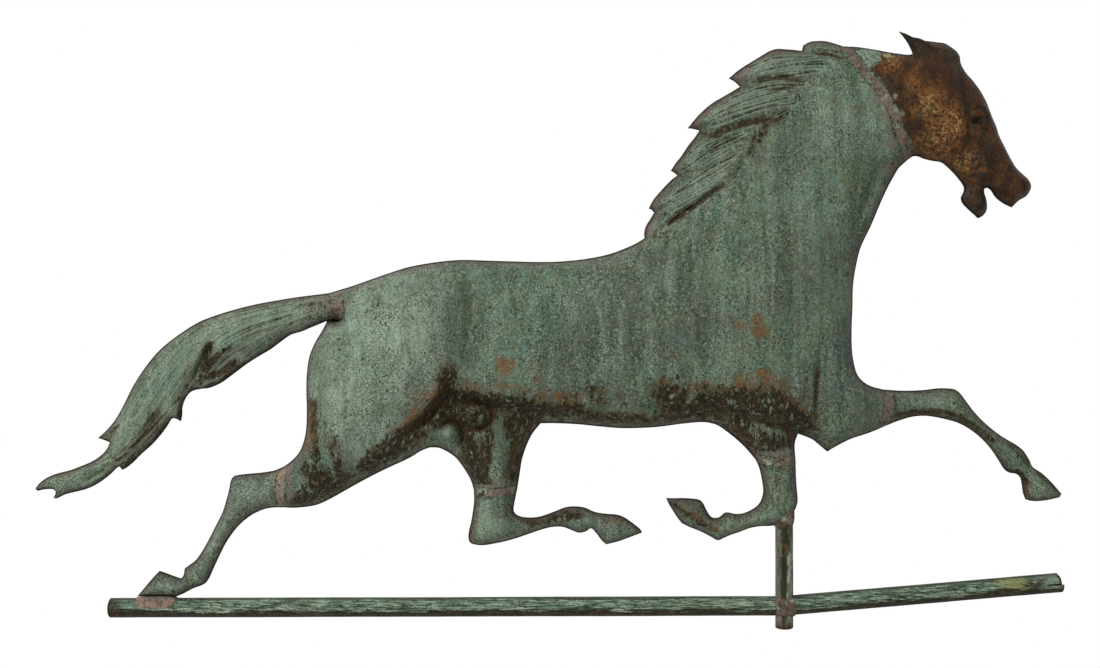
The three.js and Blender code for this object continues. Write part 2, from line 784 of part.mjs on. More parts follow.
group.add(
  ...pressedPair("body_shell", bodyShell()),
  named("cast_head", castHead(), castBrown()),
  named("neck_solder", neck.collar, greySolder()),
  ...pressedPair("tail_shell", tailShell()),
  named("tail_solder", tail.collar, greySolder()),
  ...pressedPair("trailing_hind_leg", trailingHind.free),
  named("trailing_hind_solder", trailingHind.collar, greySolder()),
  ...pressedPair("bent_hind_leg", bentHind.free),
  named("bent_hind_solder", bentHind.collar, greySolder()),
  ...pressedPair("reaching_foreleg", reachingFore.free),
  named("reaching_foreleg_solder", reachingFore.collar, greySolder()),
  ...pressedPair("folded_foreleg", foldedFore.free.subtract(kneeTubeRoom)),
  named("folded_foreleg_solder", foldedFore.collar, greySolder()),
  named("rear_bar", rearBar(), verdigris()),
  named("rear_bar_cap", rearBarCap(), darkTube()),
  named("front_bar", frontBar(), verdigris()),
  named("front_bar_liner", frontBarLiner(), darkTube()),
  named("spindle_tube", spindleTube(), darkTube()),
  named("knee_solder", kneeSolder(), greySolder()),
  named("cross_solder", crossSolder(), greySolder()),
  named("hoof_solder_pad", hoofSolderPad(), greySolder()),
  named("pivot_cap", pivotCap(), iron()),
  named("spindle", spindle(), iron()),
);

export default group;
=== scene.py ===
"""A trotting horse weathervane in pressed copper with a cast head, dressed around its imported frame.

The horse's outline is kept in the photograph's pixels and turned into the frame's metres. Its
surfaces are pressed from that outline: a smooth swell whose depth follows the width of each
limb, with muscles, creases and strands of hair raised on it or sunk into it.
"""

import math

import bmesh
import bpy
import numpy as np
from mathutils import Matrix, Vector
from mathutils.geometry import delaunay_2d_cdt
from mathutils.kdtree import KDTree


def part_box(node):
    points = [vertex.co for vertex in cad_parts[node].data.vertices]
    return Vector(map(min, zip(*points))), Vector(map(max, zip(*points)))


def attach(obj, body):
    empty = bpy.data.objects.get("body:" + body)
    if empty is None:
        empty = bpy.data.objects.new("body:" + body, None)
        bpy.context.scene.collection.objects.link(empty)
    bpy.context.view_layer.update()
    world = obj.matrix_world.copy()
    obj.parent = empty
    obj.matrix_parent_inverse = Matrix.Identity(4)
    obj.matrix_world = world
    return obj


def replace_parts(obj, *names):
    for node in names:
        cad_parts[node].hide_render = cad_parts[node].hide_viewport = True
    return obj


bl_info = {
    "name": "Horse weathervane",
    "version": (1, 0, 0),
    "blender": (4, 5, 0),
    "location": "View3D > Sidebar > Weathervane",
    "description": "Builds a pressed copper horse weathervane around its frame",
    "category": "Add Mesh",
}

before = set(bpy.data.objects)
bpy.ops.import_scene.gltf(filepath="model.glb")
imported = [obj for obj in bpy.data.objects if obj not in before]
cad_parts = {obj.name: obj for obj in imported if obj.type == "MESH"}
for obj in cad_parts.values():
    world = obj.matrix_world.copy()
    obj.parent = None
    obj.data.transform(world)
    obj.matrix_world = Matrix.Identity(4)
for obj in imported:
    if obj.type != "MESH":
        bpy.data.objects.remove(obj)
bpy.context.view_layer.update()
MM = 0.001

# Places shared by the photograph and the frame

PHOTO_WIDTH_PX, PHOTO_HEIGHT_PX = 1100, 668
TAIL_TIP_PX = 35.5
TOE_PX = 1061.4
SPINDLE_PX = 784.2
HOOF_SEAT_PX = 596.0
TAIL_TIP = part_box("tail_shell_near")[0]
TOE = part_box("reaching_foreleg_near")[1]
HOOF_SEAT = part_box("trailing_hind_leg_near")[0]
METRES_PER_PX = (TOE.x - TAIL_TIP.x) / (TOE_PX - TAIL_TIP_PX)
VIEW_MIDDLE_PX = np.array((PHOTO_WIDTH_PX, PHOTO_HEIGHT_PX)) / 2
VIEW_DISTANCE = 1.25  # metres from the lens to the middle plane


def to_frame(points_px):
    """Pixels of the photograph, as x and z in the frame's metres."""
    points_px = np.asarray(points_px, float)
    x = (points_px[:, 0] - SPINDLE_PX) * METRES_PER_PX
    z = HOOF_SEAT.z + (HOOF_SEAT_PX - points_px[:, 1]) * METRES_PER_PX
    return x, z


# The outline, clockwise as the photograph shows it, in its pixels. A third value marks a sharp corner.

MANE_PX = [
    (843, 46.5), (827.4, 41.6), (815.8, 41.1), (809, 42.3), (803.3, 45.4, 1), (801.7, 51, 1),
    (794.2, 50), (784.3, 49.3), (776.8, 49), (769.3, 51.3), (759.4, 57.1), (749.4, 63.2), (739.5, 69.5),
    (728.7, 78.4, 1), (734.5, 81.6), (740, 86.7, 1), (732.9, 91.1), (722.9, 96.9), (713, 102.7),
    (704.7, 109.3), (696.4, 117.6), (687.6, 128.3, 1), (693.1, 128.9), (699.4, 130.6, 1), (694.7, 137.5),
    (688.1, 145.8), (681.5, 155.8), (675.6, 163.3), (670.7, 170.8, 1), (674, 172.6), (677.3, 175.5, 1),
    (671.5, 179.8), (664.9, 186.4), (658.2, 193.9), (653.3, 199.9), (648.6, 208.4, 1), (651.6, 209.9),
    (654.1, 212.7, 1), (649.9, 219.6), (645.8, 226.4), (644.1, 233.1), (644.6, 238.2, 1),
]
BACK_PX = [
    (644.6, 238.2, 1), (636, 243.4), (624.3, 248.7), (608.3, 254.4), (585.3, 259), (560.1, 261.5),
    (537.1, 262), (509.6, 261.3), (486.6, 260.6), (463.7, 259.9), (447.6, 260.9), (429.2, 263.2),
    (408.6, 267.1), (390.2, 272.8), (367.2, 280.8), (350, 286.8), (338, 290.4),
]
RUMP_PX = [
    (338, 320), (327.1, 321.3, 1), (322.5, 330.2), (315.6, 341.7), (309.8, 355.4), (307.1, 371.5),
    (306.4, 389.9), (306.8, 408.2), (306.4, 426.6), (304.1, 440.4), (299.5, 451.9), (292.5, 460),
    (284.5, 466.2),
]
GASKIN_PX = [
    (284.5, 507.3), (296, 507.7), (314.4, 505.4), (328.2, 499.9), (346.6, 489.7), (367.2, 478.3),
    (387.9, 467.9), (408.6, 458.4), (421, 450.9), (430.4, 447.3, 1), (440.7, 448.4), (454.5, 456.5),
    (463.7, 467.9), (470.5, 479.4), (473.8, 489.5),
]
BELLY_PX = [
    (517.3, 489), (519.9, 472.5), (522.2, 458.8), (526.8, 445), (532.5, 433.5), (540.6, 423.3, 1),
    (555.5, 423.2), (578.4, 424.3), (601.4, 426.6), (624.3, 428.2), (655.4, 427.1), (681.4, 423.8),
    (700.9, 422.1), (712, 423.4), (720.5, 427.1), (733.5, 436.8), (744.3, 446.6), (755.2, 459),
]
ELBOW_PX = [
    (795.4, 459), (794.6, 448), (795.2, 440.8), (798, 433.6, 1), (811.5, 439), (818, 443.9),
    (827.1, 451.6, 1), (835.4, 446.6), (850.5, 439), (867.9, 433.2), (878.2, 429),
]
CHEST_PX = [
    (887.6, 389.8), (880.9, 388.9), (867.9, 384.8), (858.1, 376.1), (853.8, 363.1), (851.8, 347.9),
    (851.6, 328.4), (852.4, 306.7), (853, 285), (856, 265.5), (860.3, 248.2), (867.3, 233),
    (870.9, 225.6), (876.5, 212.3), (881.4, 200.7), (887.6, 187.5), (893, 177.5), (898.4, 168.4),
    (903, 164), (907.2, 160.2),
]
NECK_SEAM_PX = [
    (907.2, 160.2), (901.4, 149.3), (894.7, 136), (888, 119.5), (879.8, 103), (869.8, 88), (858.2, 74.7),
    (850, 61.5), (843, 46.5),
]
HEAD_PX = [
    (843, 46.5), (858, 47.2), (873.2, 49.5), (893, 53), (911, 54.5), (916, 47), (922, 41.4), (927.9, 41.2),
    (937.8, 42.5), (944.5, 43.4), (950, 46.6), (956.2, 51.2), (959.6, 56.6), (960.8, 64), (966, 73.1),
    (972.6, 80.5), (979.3, 89.6), (985.1, 99.6), (989.2, 109.5), (991.7, 116.2), (995.9, 126.1),
    (999.2, 136.1), (1004.1, 146), (1009.1, 156), (1015.8, 167.4), (1022.4, 174), (1028.4, 179.8),
    (1031, 185.8), (1029.8, 190.8), (1025.7, 196.4), (1019.1, 200.2), (1015.8, 203.2),
    (1011.6, 207.4, 1), (1005.8, 204.9), (999.2, 200.7), (994.2, 195.8), (991.2, 190.8), (987.6, 187.8, 1),
    (984.3, 188.6, 1), (984.1, 192.4), (985.9, 198.2), (986.9, 204), (986.5, 210.2), (984.3, 214),
    (980.9, 217), (977.6, 218.1), (974.8, 215.4), (966, 207.4), (961.9, 202.4), (960.9, 197.4),
    (963.3, 192.4), (963.8, 187.5), (961, 182.3), (954.4, 174.2), (947.8, 167.6), (941.1, 162.4),
    (932.9, 161), (924.6, 159.1), (917.9, 156.4), (912.4, 156.6), (907.2, 160.2),
]
TAIL_TOP_PX = [
    (338, 290.4), (327.9, 293.2), (301.9, 296.5), (280.2, 299.9), (258.5, 303.8), (236.8, 309),
    (219.5, 314.2), (204.3, 319.7), (193.5, 325.1), (180.5, 333.6), (169.6, 341.6), (158.8, 351.1),
    (150.1, 361.1), (141.4, 373), (132.7, 387.1), (126.2, 400.1), (119.7, 412.7), (113.2, 422.7),
    (105.6, 431.3), (98.1, 438, 1), (103.5, 439.7), (110, 442.4, 1), (106.7, 449.4), (100.2, 456.1),
    (91.6, 461.6), (80.7, 466.2), (69.9, 470.2), (56.9, 473.6), (48.2, 477.1), (40.6, 482.3),
    (35.5, 488.4, 1), (37.4, 490.8, 1), (46, 489.2), (53.6, 489.4), (55.8, 492.8), (53.6, 497.9, 1),
    (56.9, 498.4), (65.5, 494.4), (76.4, 491.6), (87.2, 488.7), (98.1, 483.4), (108.9, 475.6),
    (118.6, 466.8), (121.9, 469.7, 1), (125.2, 468.6), (132.7, 462.8), (141.4, 454.1), (152.3, 444.3),
    (160.9, 434.6), (167.4, 425.7), (171.8, 418.9), (176.1, 418.7), (180.9, 421.3, 1), (182.2, 415.1),
    (182.6, 406.6), (185.9, 397.9), (191.3, 391.6), (200, 389.1), (209.7, 387.8), (221.7, 382.5),
    (234.7, 373), (247.7, 363.4), (258.5, 356.5), (271.5, 348.7), (282.4, 340.5), (291, 334.8),
    (301.9, 331.4), (310.5, 327.7), (323.6, 322.4), (327.1, 321.3), (338, 320),
]
TRAILING_HIND_PX = [
    (284.5, 466.2), (274.3, 470.4), (262.2, 472.5), (250, 473.6), (238.1, 475), (233.2, 476.8),
    (230.6, 482), (229.5, 488), (226.9, 498.5), (222.6, 512.3), (215.7, 526.1), (208.8, 539.7),
    (201.9, 551.7), (195.9, 560), (189.9, 564.7), (184.9, 568.7), (184.2, 573.5), (181.6, 578.1),
    (175.6, 576.6), (167.5, 573.6), (159.7, 570.9, 1), (155.4, 575.2), (148.6, 582.9), (141.7, 591.3),
    (137.4, 596, 1), (150, 596), (163, 596), (177.5, 596, 1), (183.9, 593.3), (193.3, 588.3),
    (203.7, 584.3), (208.8, 578.7), (214, 567.4), (220.9, 552.7), (227.8, 539.9), (238.1, 526.3),
    (250.1, 516), (262.2, 509.9), (272.5, 507.6), (284.5, 507.3),
]
BENT_HIND_PX = [
    (473.8, 489.5), (474, 502), (471.6, 519.3), (468.8, 531.8), (468.6, 538.9), (471.4, 543.4),
    (482.1, 545.2), (496.4, 543.1), (510.7, 539.8), (525, 535.2), (539.3, 530.2), (551.8, 527),
    (562.5, 526.9), (571.4, 530), (578.6, 532.6), (585.7, 531.4), (591.1, 528.3), (596.4, 533.4),
    (601.8, 540.5), (606.3, 544.3, 1), (617.9, 541.4), (632.1, 536.3), (642, 532.5, 1), (640.2, 529.1),
    (630.4, 521.3), (623.2, 516.8), (616.1, 514.5), (605.4, 513.7), (594.6, 511.8), (585.7, 507.9),
    (576.8, 506.4), (566.1, 507.1), (555.4, 511.1), (542.9, 515.7), (532.1, 517.5), (521.4, 516.6),
    (515.2, 513.4), (513.6, 508.6), (515.4, 498), (517.3, 489),
]
FOLDED_FORE_PX = [
    (755.2, 459), (758.9, 467), (761.6, 478), (763.2, 489.8), (761.8, 498.4), (757.8, 505.1),
    (750.6, 510.2), (742.4, 513.4), (735, 513.8), (728.2, 512.4), (724.2, 512.9), (721.7, 515.3),
    (717.4, 517.8), (711.4, 517), (707.2, 511.3), (704.6, 506.1), (702.4, 502.3), (697.9, 499.3),
    (685.5, 498.1), (672.8, 498.2), (666.1, 497.9, 1), (668.9, 504.2), (672.8, 510.6), (677.2, 517.4),
    (681.7, 523, 1), (688.7, 526.6), (698.3, 530.4), (704.6, 533.3), (711, 536.8), (717.8, 540.2),
    (723.8, 537.8), (731.4, 534.6), (738.4, 532.3), (749.3, 528.2), (760, 526.2), (771, 525.8),
    (781, 523.6), (789, 518), (794.5, 510.6), (797.5, 502), (797.2, 493.9), (796.2, 481.6),
    (795.7, 468), (795.4, 459),
]
REACHING_FORE_PX = [
    (878.2, 429), (885.2, 426), (899.4, 420.4), (913.9, 416.5), (928.4, 416.1), (947.8, 419.8),
    (962.4, 424.9), (976.9, 434.5), (989, 446.6), (997.6, 458.8), (1003.2, 467.9), (1008.4, 472.3),
    (1015.9, 473.8), (1020.1, 477.3), (1021.7, 484), (1023, 492.7), (1025.4, 499.3, 1), (1032.7, 501),
    (1044.8, 500.4), (1059.3, 497.3, 1), (1061.4, 493.9, 1), (1052, 483), (1042.4, 473.7), (1032.7, 466.9),
    (1029, 459.6), (1023, 450.5), (1015.7, 444.6), (1008.4, 440.4), (998.7, 434.3), (986.6, 424.6),
    (974.5, 412.5), (964.8, 399.6), (959.2, 392.6), (952.7, 388.9), (938.1, 388.3), (923.6, 390),
    (904.2, 390.7), (887.6, 389.8),
]
OUTLINE_RUNS_PX = [
    MANE_PX, BACK_PX, TAIL_TOP_PX, RUMP_PX, TRAILING_HIND_PX, GASKIN_PX, BENT_HIND_PX, BELLY_PX,
    FOLDED_FORE_PX, ELBOW_PX, REACHING_FORE_PX, CHEST_PX, HEAD_PX[::-1],
]


# Outlines as smooth curves


def spline(points, step):
    """A smooth curve through the points, sampled about every step, with its marked corners kept sharp."""
    corners = [0] + [i for i in range(1, len(points) - 1) if len(points[i]) > 2] + [len(points) - 1]
    made = []
    for first, last in zip(corners, corners[1:]):
        knots = np.array([point[:2] for point in points[first:last + 1]], float)
        before = 2 * knots[0] - knots[1]
        after = 2 * knots[-1] - knots[-2]
        padded = np.vstack([before, knots, after])
        for i in range(len(knots) - 1):
            a, b, c, d = padded[i:i + 4]
            count = max(1, round(np.linalg.norm(c - b) / step))
            t = (np.arange(count) / count)[:, None]
            made.append(0.5 * (2 * b + (c - a) * t + (2 * a - 5 * b + 4 * c - d) * t**2
                               + (3 * b - a - 3 * c + d) * t**3))
    made.append(np.array([points[-1][:2]], float))
    return np.vstack(made)


def resampled(points, step, shares):
    """Points at given shares of the way along a smooth curve."""
    curve = spline(points, step)
    places = shares * (len(curve) - 1)
    return np.stack([np.interp(places, np.arange(len(curve)), curve[:, axis]) for axis in (0, 1)], axis=1)


SAME_POINT_PX = 0.05


def closed_loop(runs, step):
    """One loop through several runs, without the points that they share."""
    loop = np.vstack([spline(run, step) for run in runs])
    keep = np.linalg.norm(loop - np.roll(loop, 1, axis=0), axis=1) > SAME_POINT_PX
    return loop[keep]


def smooth_step(low, high, value):
    """Rises softly from 0 at low to 1 at high."""
    share = np.clip((value - low) / (high - low), 0, 1)
    return share * share * (3 - 2 * share)


def inside(points, loop, batch=4000):
    """Which points lie inside a closed loop: a level line from each crosses it an odd number of times."""
    after = np.roll(loop, -1, axis=0)
    rise = after[:, 1] - loop[:, 1]
    slope = (after[:, 0] - loop[:, 0]) / np.where(rise == 0, 1, rise)
    found = []
    for first in range(0, len(points), batch):
        x, y = points[first:first + batch, :1], points[first:first + batch, 1:]
        level = (loop[:, 1] > y) != (after[:, 1] > y)
        crossed = level & (x < loop[:, 0] + (y - loop[:, 1]) * slope)
        found.append(crossed.sum(1) % 2 == 1)
    return np.concatenate(found)


class Edge:
    """A loop or an open path that points are measured against."""

    def __init__(self, points, closed=True):
        self.starts = np.asarray(points, float)
        self.ends = np.roll(self.starts, -1, axis=0)
        if not closed:
            self.starts, self.ends = self.starts[:-1], self.ends[:-1]
        self.closed = closed
        self.tree = KDTree(len(self.starts))
        middles = (self.starts + self.ends) / 2
        for index, (x, y) in enumerate(middles):
            self.tree.insert((x, y, 0), index)
        self.tree.balance()

    def measure(self, points):
        """Each point's distance, its share of the way along, and whether it lies to the right."""
        nearest = np.array([self.tree.find((x, y, 0))[1] for x, y in points], int)
        gap = np.full(len(points), np.inf)
        share = np.zeros(len(points))
        right = np.zeros(len(points))
        for step in (-1, 0, 1):
            index = nearest + step
            index = index % len(self.starts) if self.closed else np.clip(index, 0, len(self.starts) - 1)
            along = self.ends[index] - self.starts[index]
            offset = points - self.starts[index]
            t = np.clip((offset * along).sum(1) / np.maximum((along**2).sum(1), 1e-9), 0, 1)
            found = np.hypot(*(offset - t[:, None] * along).T)
            better = found < gap
            gap = np.where(better, found, gap)
            share = np.where(better, (index + t) / len(self.starts), share)
            side = along[:, 0] * offset[:, 1] - along[:, 1] * offset[:, 0]
            right = np.where(better, np.sign(side), right)
        return gap, share, right


def crossings(loop, y):
    """Where a level line crosses a closed loop, from left to right."""
    after = np.roll(loop, -1, axis=0)
    hit = (loop[:, 1] > y) != (after[:, 1] > y)
    a, b = loop[hit], after[hit]
    x = np.sort(a[:, 0] + (y - a[:, 1]) * (b[:, 0] - a[:, 0]) / (b[:, 1] - a[:, 1]))
    return list(zip(x[0::2], x[1::2]))


BODY_STEP_PX = 2
HEAD_STEP_PX = 1.8
LIMB_STEP_PX = 1.6
OUTLINE = closed_loop(OUTLINE_RUNS_PX, BODY_STEP_PX)
OUTLINE_EDGE = Edge(OUTLINE)

# The swell of the pressed halves, on a grid over the photograph

FIELD_STEP_PX = 2
FIELD_LEFT_PX, FIELD_TOP_PX = 24, 20
FIELD_COLUMNS, FIELD_ROWS = 526, 296
RELAXING_ROUNDS = 420
OVER_RELAXING = 1.94
GIRTH_BLUR_CELLS = 2.2


def field_mask(loop):
    """The field's cells that lie inside a loop, as ones."""
    mask = np.zeros((FIELD_ROWS, FIELD_COLUMNS))
    for row in range(FIELD_ROWS):
        for left, right in crossings(loop, FIELD_TOP_PX + FIELD_STEP_PX * row):
            first = math.ceil((left - FIELD_LEFT_PX) / FIELD_STEP_PX)
            last = math.floor((right - FIELD_LEFT_PX) / FIELD_STEP_PX)
            mask[row, first:last + 1] = 1
    return mask


def swell_field(mask):
    """The square of a round section's height: a membrane over the outline, blown up evenly."""
    rows, columns = np.indices(mask.shape)
    colours = [mask * ((rows + columns) % 2 == parity) * OVER_RELAXING for parity in (0, 1)]
    membrane = np.zeros(mask.shape)
    around = np.zeros(mask.shape)
    for _ in range(RELAXING_ROUNDS):
        for colour in colours:
            around[1:-1, 1:-1] = (
                membrane[:-2, 1:-1] + membrane[2:, 1:-1] + membrane[1:-1, :-2] + membrane[1:-1, 2:]
            )
            membrane += colour * ((around + FIELD_STEP_PX**2) / 4 - membrane)
    return 2 * membrane


def blurred(field, radius):
    """A soft average of a field, under a window that falls off like a bell."""
    reach = math.ceil(3 * radius)
    weights = np.exp(-0.5 * (np.arange(-reach, reach + 1) / radius) ** 2)
    weights /= weights.sum()
    for axis in (0, 1):
        field = np.apply_along_axis(lambda line: np.convolve(line, weights, mode="same"), axis, field)
    return field


def girth_field(swell, mask):
    """Half the width of a round limb that would swell as much, evened out over the horse."""
    rows, columns = np.nonzero(mask)
    cells = FIELD_STEP_PX * np.stack([columns, rows], axis=1).astype(float)
    rim, _, _ = OUTLINE_EDGE.measure(cells + (FIELD_LEFT_PX, FIELD_TOP_PX))
    rim = np.maximum(rim, FIELD_STEP_PX / 2)
    trust = np.zeros(mask.shape)
    trust[rows, columns] = rim
    girth = np.zeros(mask.shape)
    girth[rows, columns] = (swell[rows, columns] + rim**2) / (2 * rim)
    weight = blurred(trust, GIRTH_BLUR_CELLS)
    return blurred(girth * trust, GIRTH_BLUR_CELLS) / np.maximum(weight, 1e-3)


def sampled(field, points):
    """A field's value at any points, straight between its cells."""
    x = np.clip((points[:, 0] - FIELD_LEFT_PX) / FIELD_STEP_PX, 0, FIELD_COLUMNS - 1.001)
    y = np.clip((points[:, 1] - FIELD_TOP_PX) / FIELD_STEP_PX, 0, FIELD_ROWS - 1.001)
    column, row = x.astype(int), y.astype(int)
    u, v = x - column, y - row
    return (
        field[row, column] * (1 - u) * (1 - v) + field[row, column + 1] * u * (1 - v)
        + field[row + 1, column] * (1 - u) * v + field[row + 1, column + 1] * u * v
    )


HORSE_MASK = field_mask(OUTLINE)
SWELL = swell_field(HORSE_MASK)
GIRTH = girth_field(SWELL, HORSE_MASK)

# Depths: the law that ties a limb's depth to its width, and how far each region departs from it.
# Depths and heights on the horse are in millimetres until its meshes are made.

BARREL_GIRTH_PX = 93
DEPTH_POWER = 0.6
DEEPEST = 41.7
BARREL_DEPTH = 41.5
# Where both sides of the horse are alike, one value stands for the near and the far one
# Regions: x, y and reach in pixels, then the near and the far share of the depth
REGION_DEPTH_SHARES = [
    (600, 345, 90, 0.94), (480, 340, 50, 0.9), (390, 350, 60, 0.9), (330, 430, 45, 0.96, 0.86),
    (760, 330, 80, 0.9), (840, 330, 50, 0.82, 0.8), (770, 200, 70, 0.68), (860, 130, 50, 0.62),
    (720, 120, 45, 0.5), (945, 120, 50, 0.8), (1000, 185, 30, 1.05), (335, 305, 20, 0.9),
    (215, 345, 60, 0.74), (110, 460, 60, 0.62), (500, 470, 40, 0.95, 1.05), (560, 520, 50, 1.05),
    (220, 530, 50, 1.1), (160, 588, 20, 1.1), (775, 480, 40, 1.05), (700, 515, 40, 1.1),
    (860, 410, 30, 1, 0.9), (950, 405, 50, 1), (1035, 480, 30, 1.1),
]
# Soft swellings: x, y, reach along and across in pixels, turn in degrees, near and far height
SWELLINGS = [
    (402, 326, 52, 38, -15, 6), (360, 392, 60, 34, 75, 3.4, 2.4), (430, 318, 20, 44, 12, 4),
    (760, 292, 60, 34, 62, 3.6), (836, 330, 60, 17, 86, 3.4), (845, 405, 36, 20, -35, 4.4, 2.6),
    (560, 330, 70, 40, 0, 1.6), (800, 200, 80, 22, 118, 2.6), (850, 180, 70, 12, 116, 2.4),
    (473, 415, 12, 6, -6, 12, 0), (451, 433.5, 7.5, 7.5, 0, 13, 3), (498, 445, 30, 10, 80, 4, 0),
    (768, 441, 15, 8, -8, 4.4, 0), (720, 250, 40, 26, 30, 1), (250, 492, 18, 12, 70, 1.6),
    (182, 574, 6, 5, 0, 1.2), (490, 525, 14, 14, 0, 1.4), (584, 520, 7, 7, 0, 1.4),
    (780, 490, 18, 8, 90, 1.2), (726, 524, 8, 7, 0, 1.4), (948, 404, 16, 9, 10, 1.4),
    (1012, 459, 9, 7, 50, 1.4), (925, 122, 30, 28, 0, 5.4), (984, 115, 11, 4.5, 50, 4.4),
    (1000, 150, 36, 8, 62, 2.4), (1010, 190, 14, 9, 20, 1.8), (974, 205, 8, 8, 0, 1.4),
    (920, 62, 14, 9, -30, 2.4), (978, 124, 4, 2.6, 20, 2.2),
]
# Hollows and creases: a path in pixels, its half width, near and far depth
CREASES = [
    ([(462, 276), (471, 300), (474, 322), (470, 348), (460, 378)], 14, 8),
    ([(330, 345), (324, 372), (322, 405), (316, 440)], 9, 1.2),
    ([(812, 352), (811.5, 376), (810, 398), (809.4, 430)], 3, 3.4, 1),
    ([(820, 376), (817, 400), (812, 426)], 2.4, 1.4, 0),
    ([(706, 250), (700, 300), (703, 350), (716, 392)], 14, 1.6),
    ([(878.8, 166), (868, 190), (855.6, 221), (846, 250)], 6, 2.6),
    ([(838, 262), (833, 300), (834, 345), (840, 372)], 8, 1.4),
    ([(740, 415), (765, 422), (788, 428), (798, 433)], 4, 2.6, 0),
    ([(452, 374), (447, 391), (438, 405), (425, 419), (405, 432)], 5, 6, 1.4),
    ([(450, 409), (458, 404), (474, 402), (489, 406), (493, 416), (485, 426), (468, 429), (456, 424)],
     2.8, 5, 0),
    ([(440, 430), (446, 422), (456, 421), (463, 429), (463, 440), (456, 447)], 2.6, 5, 0),
    ([(480, 430), (484, 452), (486, 480)], 5, 2, 0), ([(524, 430), (513, 455), (508, 482)], 5, 2, 0),
    ([(238, 482), (252, 486), (270, 488)], 3, 0.7), ([(228, 500), (216, 530), (200, 556)], 2.4, 0.8),
    ([(241, 512), (228, 533), (216, 556)], 2.2, 0.6), ([(160, 572), (170, 579), (181, 580)], 2, 0.9),
    ([(516, 528), (545, 519), (566, 512), (582, 514)], 2.6, 0.9),
    ([(596, 512), (597, 522), (594, 530)], 2, 0.9),
    ([(890, 414), (915, 410), (935, 411), (950, 414), (960, 419), (975, 427.5), (990, 439), (1002, 455)],
     2.6, 1.6),
    ([(1011, 472), (1020, 461), (1030, 456)], 2.2, 0.9), ([(1022, 478), (1032, 470), (1038, 472)], 2, 0.7),
    ([(764, 470), (768, 488), (764, 504)], 3, 0.8), ([(741, 524), (758, 520), (774, 512)], 2.2, 0.5),
    ([(712, 522), (715, 530), (720, 538)], 2, 0.8), ([(680, 505), (690, 512), (704, 520)], 2, 0.8),
    ([(952, 66), (957, 90), (962, 120), (962, 150), (955, 168)], 5, 2.8),
    ([(903, 70), (896, 95), (902, 122), (913, 148)], 5, 2.4),
    ([(966, 126), (972, 123.5), (979, 125)], 3.4, 5), ([(964, 114), (974, 110.5), (985, 114)], 1.8, 1),
    ([(970, 131), (979, 132), (986, 133)], 1.8, 1.2), ([(972, 140), (982, 158), (995, 176)], 5, 2.4),
    ([(1015, 182), (1020, 187), (1019, 193)], 2.6, 2.6), ([(988, 187), (998, 192), (1010, 199)], 1.8, 1.2),
    ([(962, 188), (975, 186), (985, 187)], 2, 1.2),
    ([(652, 234), (672, 222), (695, 206), (712, 193), (734, 178)], 3.2, 4),
    ([(700, 143), (722, 132), (745, 126), (768, 123), (780, 124)], 4.6, 4),
    ([(748, 88), (762, 82), (778, 80), (794, 83), (806, 88)], 3.6, 4),
    ([(806, 56), (822, 57), (834, 60), (846, 66)], 3, 3.4), ([(766, 95), (790, 90), (800, 92)], 2, 1.6),
    ([(708, 152), (730, 144), (752, 142)], 2.2, 1.6), ([(742, 87), (770, 93), (800, 90)], 2, 1.6),
    ([(701, 131), (716, 139), (745, 142)], 2, 1.6), ([(679, 175), (700, 172), (722, 164)], 2, 1.4),
    ([(216, 342), (209, 356), (204, 370), (196, 386)], 6, 6), ([(246, 352), (228, 362), (212, 376)], 7, 4),
    ([(213, 344), (204, 360), (195, 378), (189, 388)], 2.2, 2.6),
    ([(170, 395), (158, 417), (144, 437), (132, 456), (122, 464)], 3.4, 2.2),
    ([(138, 425), (124, 448), (102, 472), (80, 482)], 2.6, 1.6),
    ([(126, 414), (117, 430), (110, 440)], 2, 1.2),
]
# Folds: what lies to the right of the path is sunk by a share of its depth; then the fade in pixels
FOLDS = [
    ([(296, 503), (350, 474), (385, 448), (409, 428), (432, 408), (446, 390), (456, 366)], 0.26, 0, 60),
    ([(444, 388), (480, 397), (510, 403), (545, 409), (575, 416)], 0.42, 0.1, 90),
    ([(690, 409), (735, 412), (770, 420), (801, 432)], 0.36, 0, 60),
    ([(350, 360), (380, 400), (424, 462)], 0, 0.24, 60), ([(800, 437), (822, 405), (854, 378)], 0, 0.3, 60),
]
MANE_BORDER_PX = [
    (852, 80), (812, 94.6), (789.2, 114.5), (756, 146), (726.2, 182.5), (664.9, 227), (646, 240),
]
MANE_PROUD = 1.5

# Locks of hair: the two edges of each lock from root to tip in pixels, its strands and their depth share
MANE_LOCKS = [
    ([(866, 62), (845, 54), (822, 48), (806, 47)], [(868, 72), (846, 66), (822, 60), (805, 52)], 3, 1),
    ([(845, 62), (820, 57), (795, 55), (770, 56), (748, 66), (731, 77)],
     [(846, 77), (822, 78), (795, 82), (770, 85), (750, 85), (735, 81)], 6, 1),
    ([(838, 84), (805, 87), (775, 88), (748, 93), (718, 105), (691, 126)],
     [(815, 96), (790, 109), (765, 114), (740, 121), (715, 128), (695, 129)], 7, 1),
    ([(800, 104), (770, 118), (742, 124), (716, 134), (695, 148), (673, 169)],
     [(772, 128), (752, 143), (728, 154), (706, 164), (688, 173), (676, 174)], 6, 1),
    ([(762, 138), (735, 153), (712, 167), (690, 181), (668, 195), (651, 207)],
     [(738, 167), (720, 184), (700, 195), (680, 205), (664, 212), (653, 212)], 5, 1),
    ([(728, 182), (705, 193), (685, 205), (668, 216), (655, 226), (647, 236)],
     [(712, 197), (694, 211), (680, 221), (668, 229), (657, 236), (649, 239)], 4, 1),
]
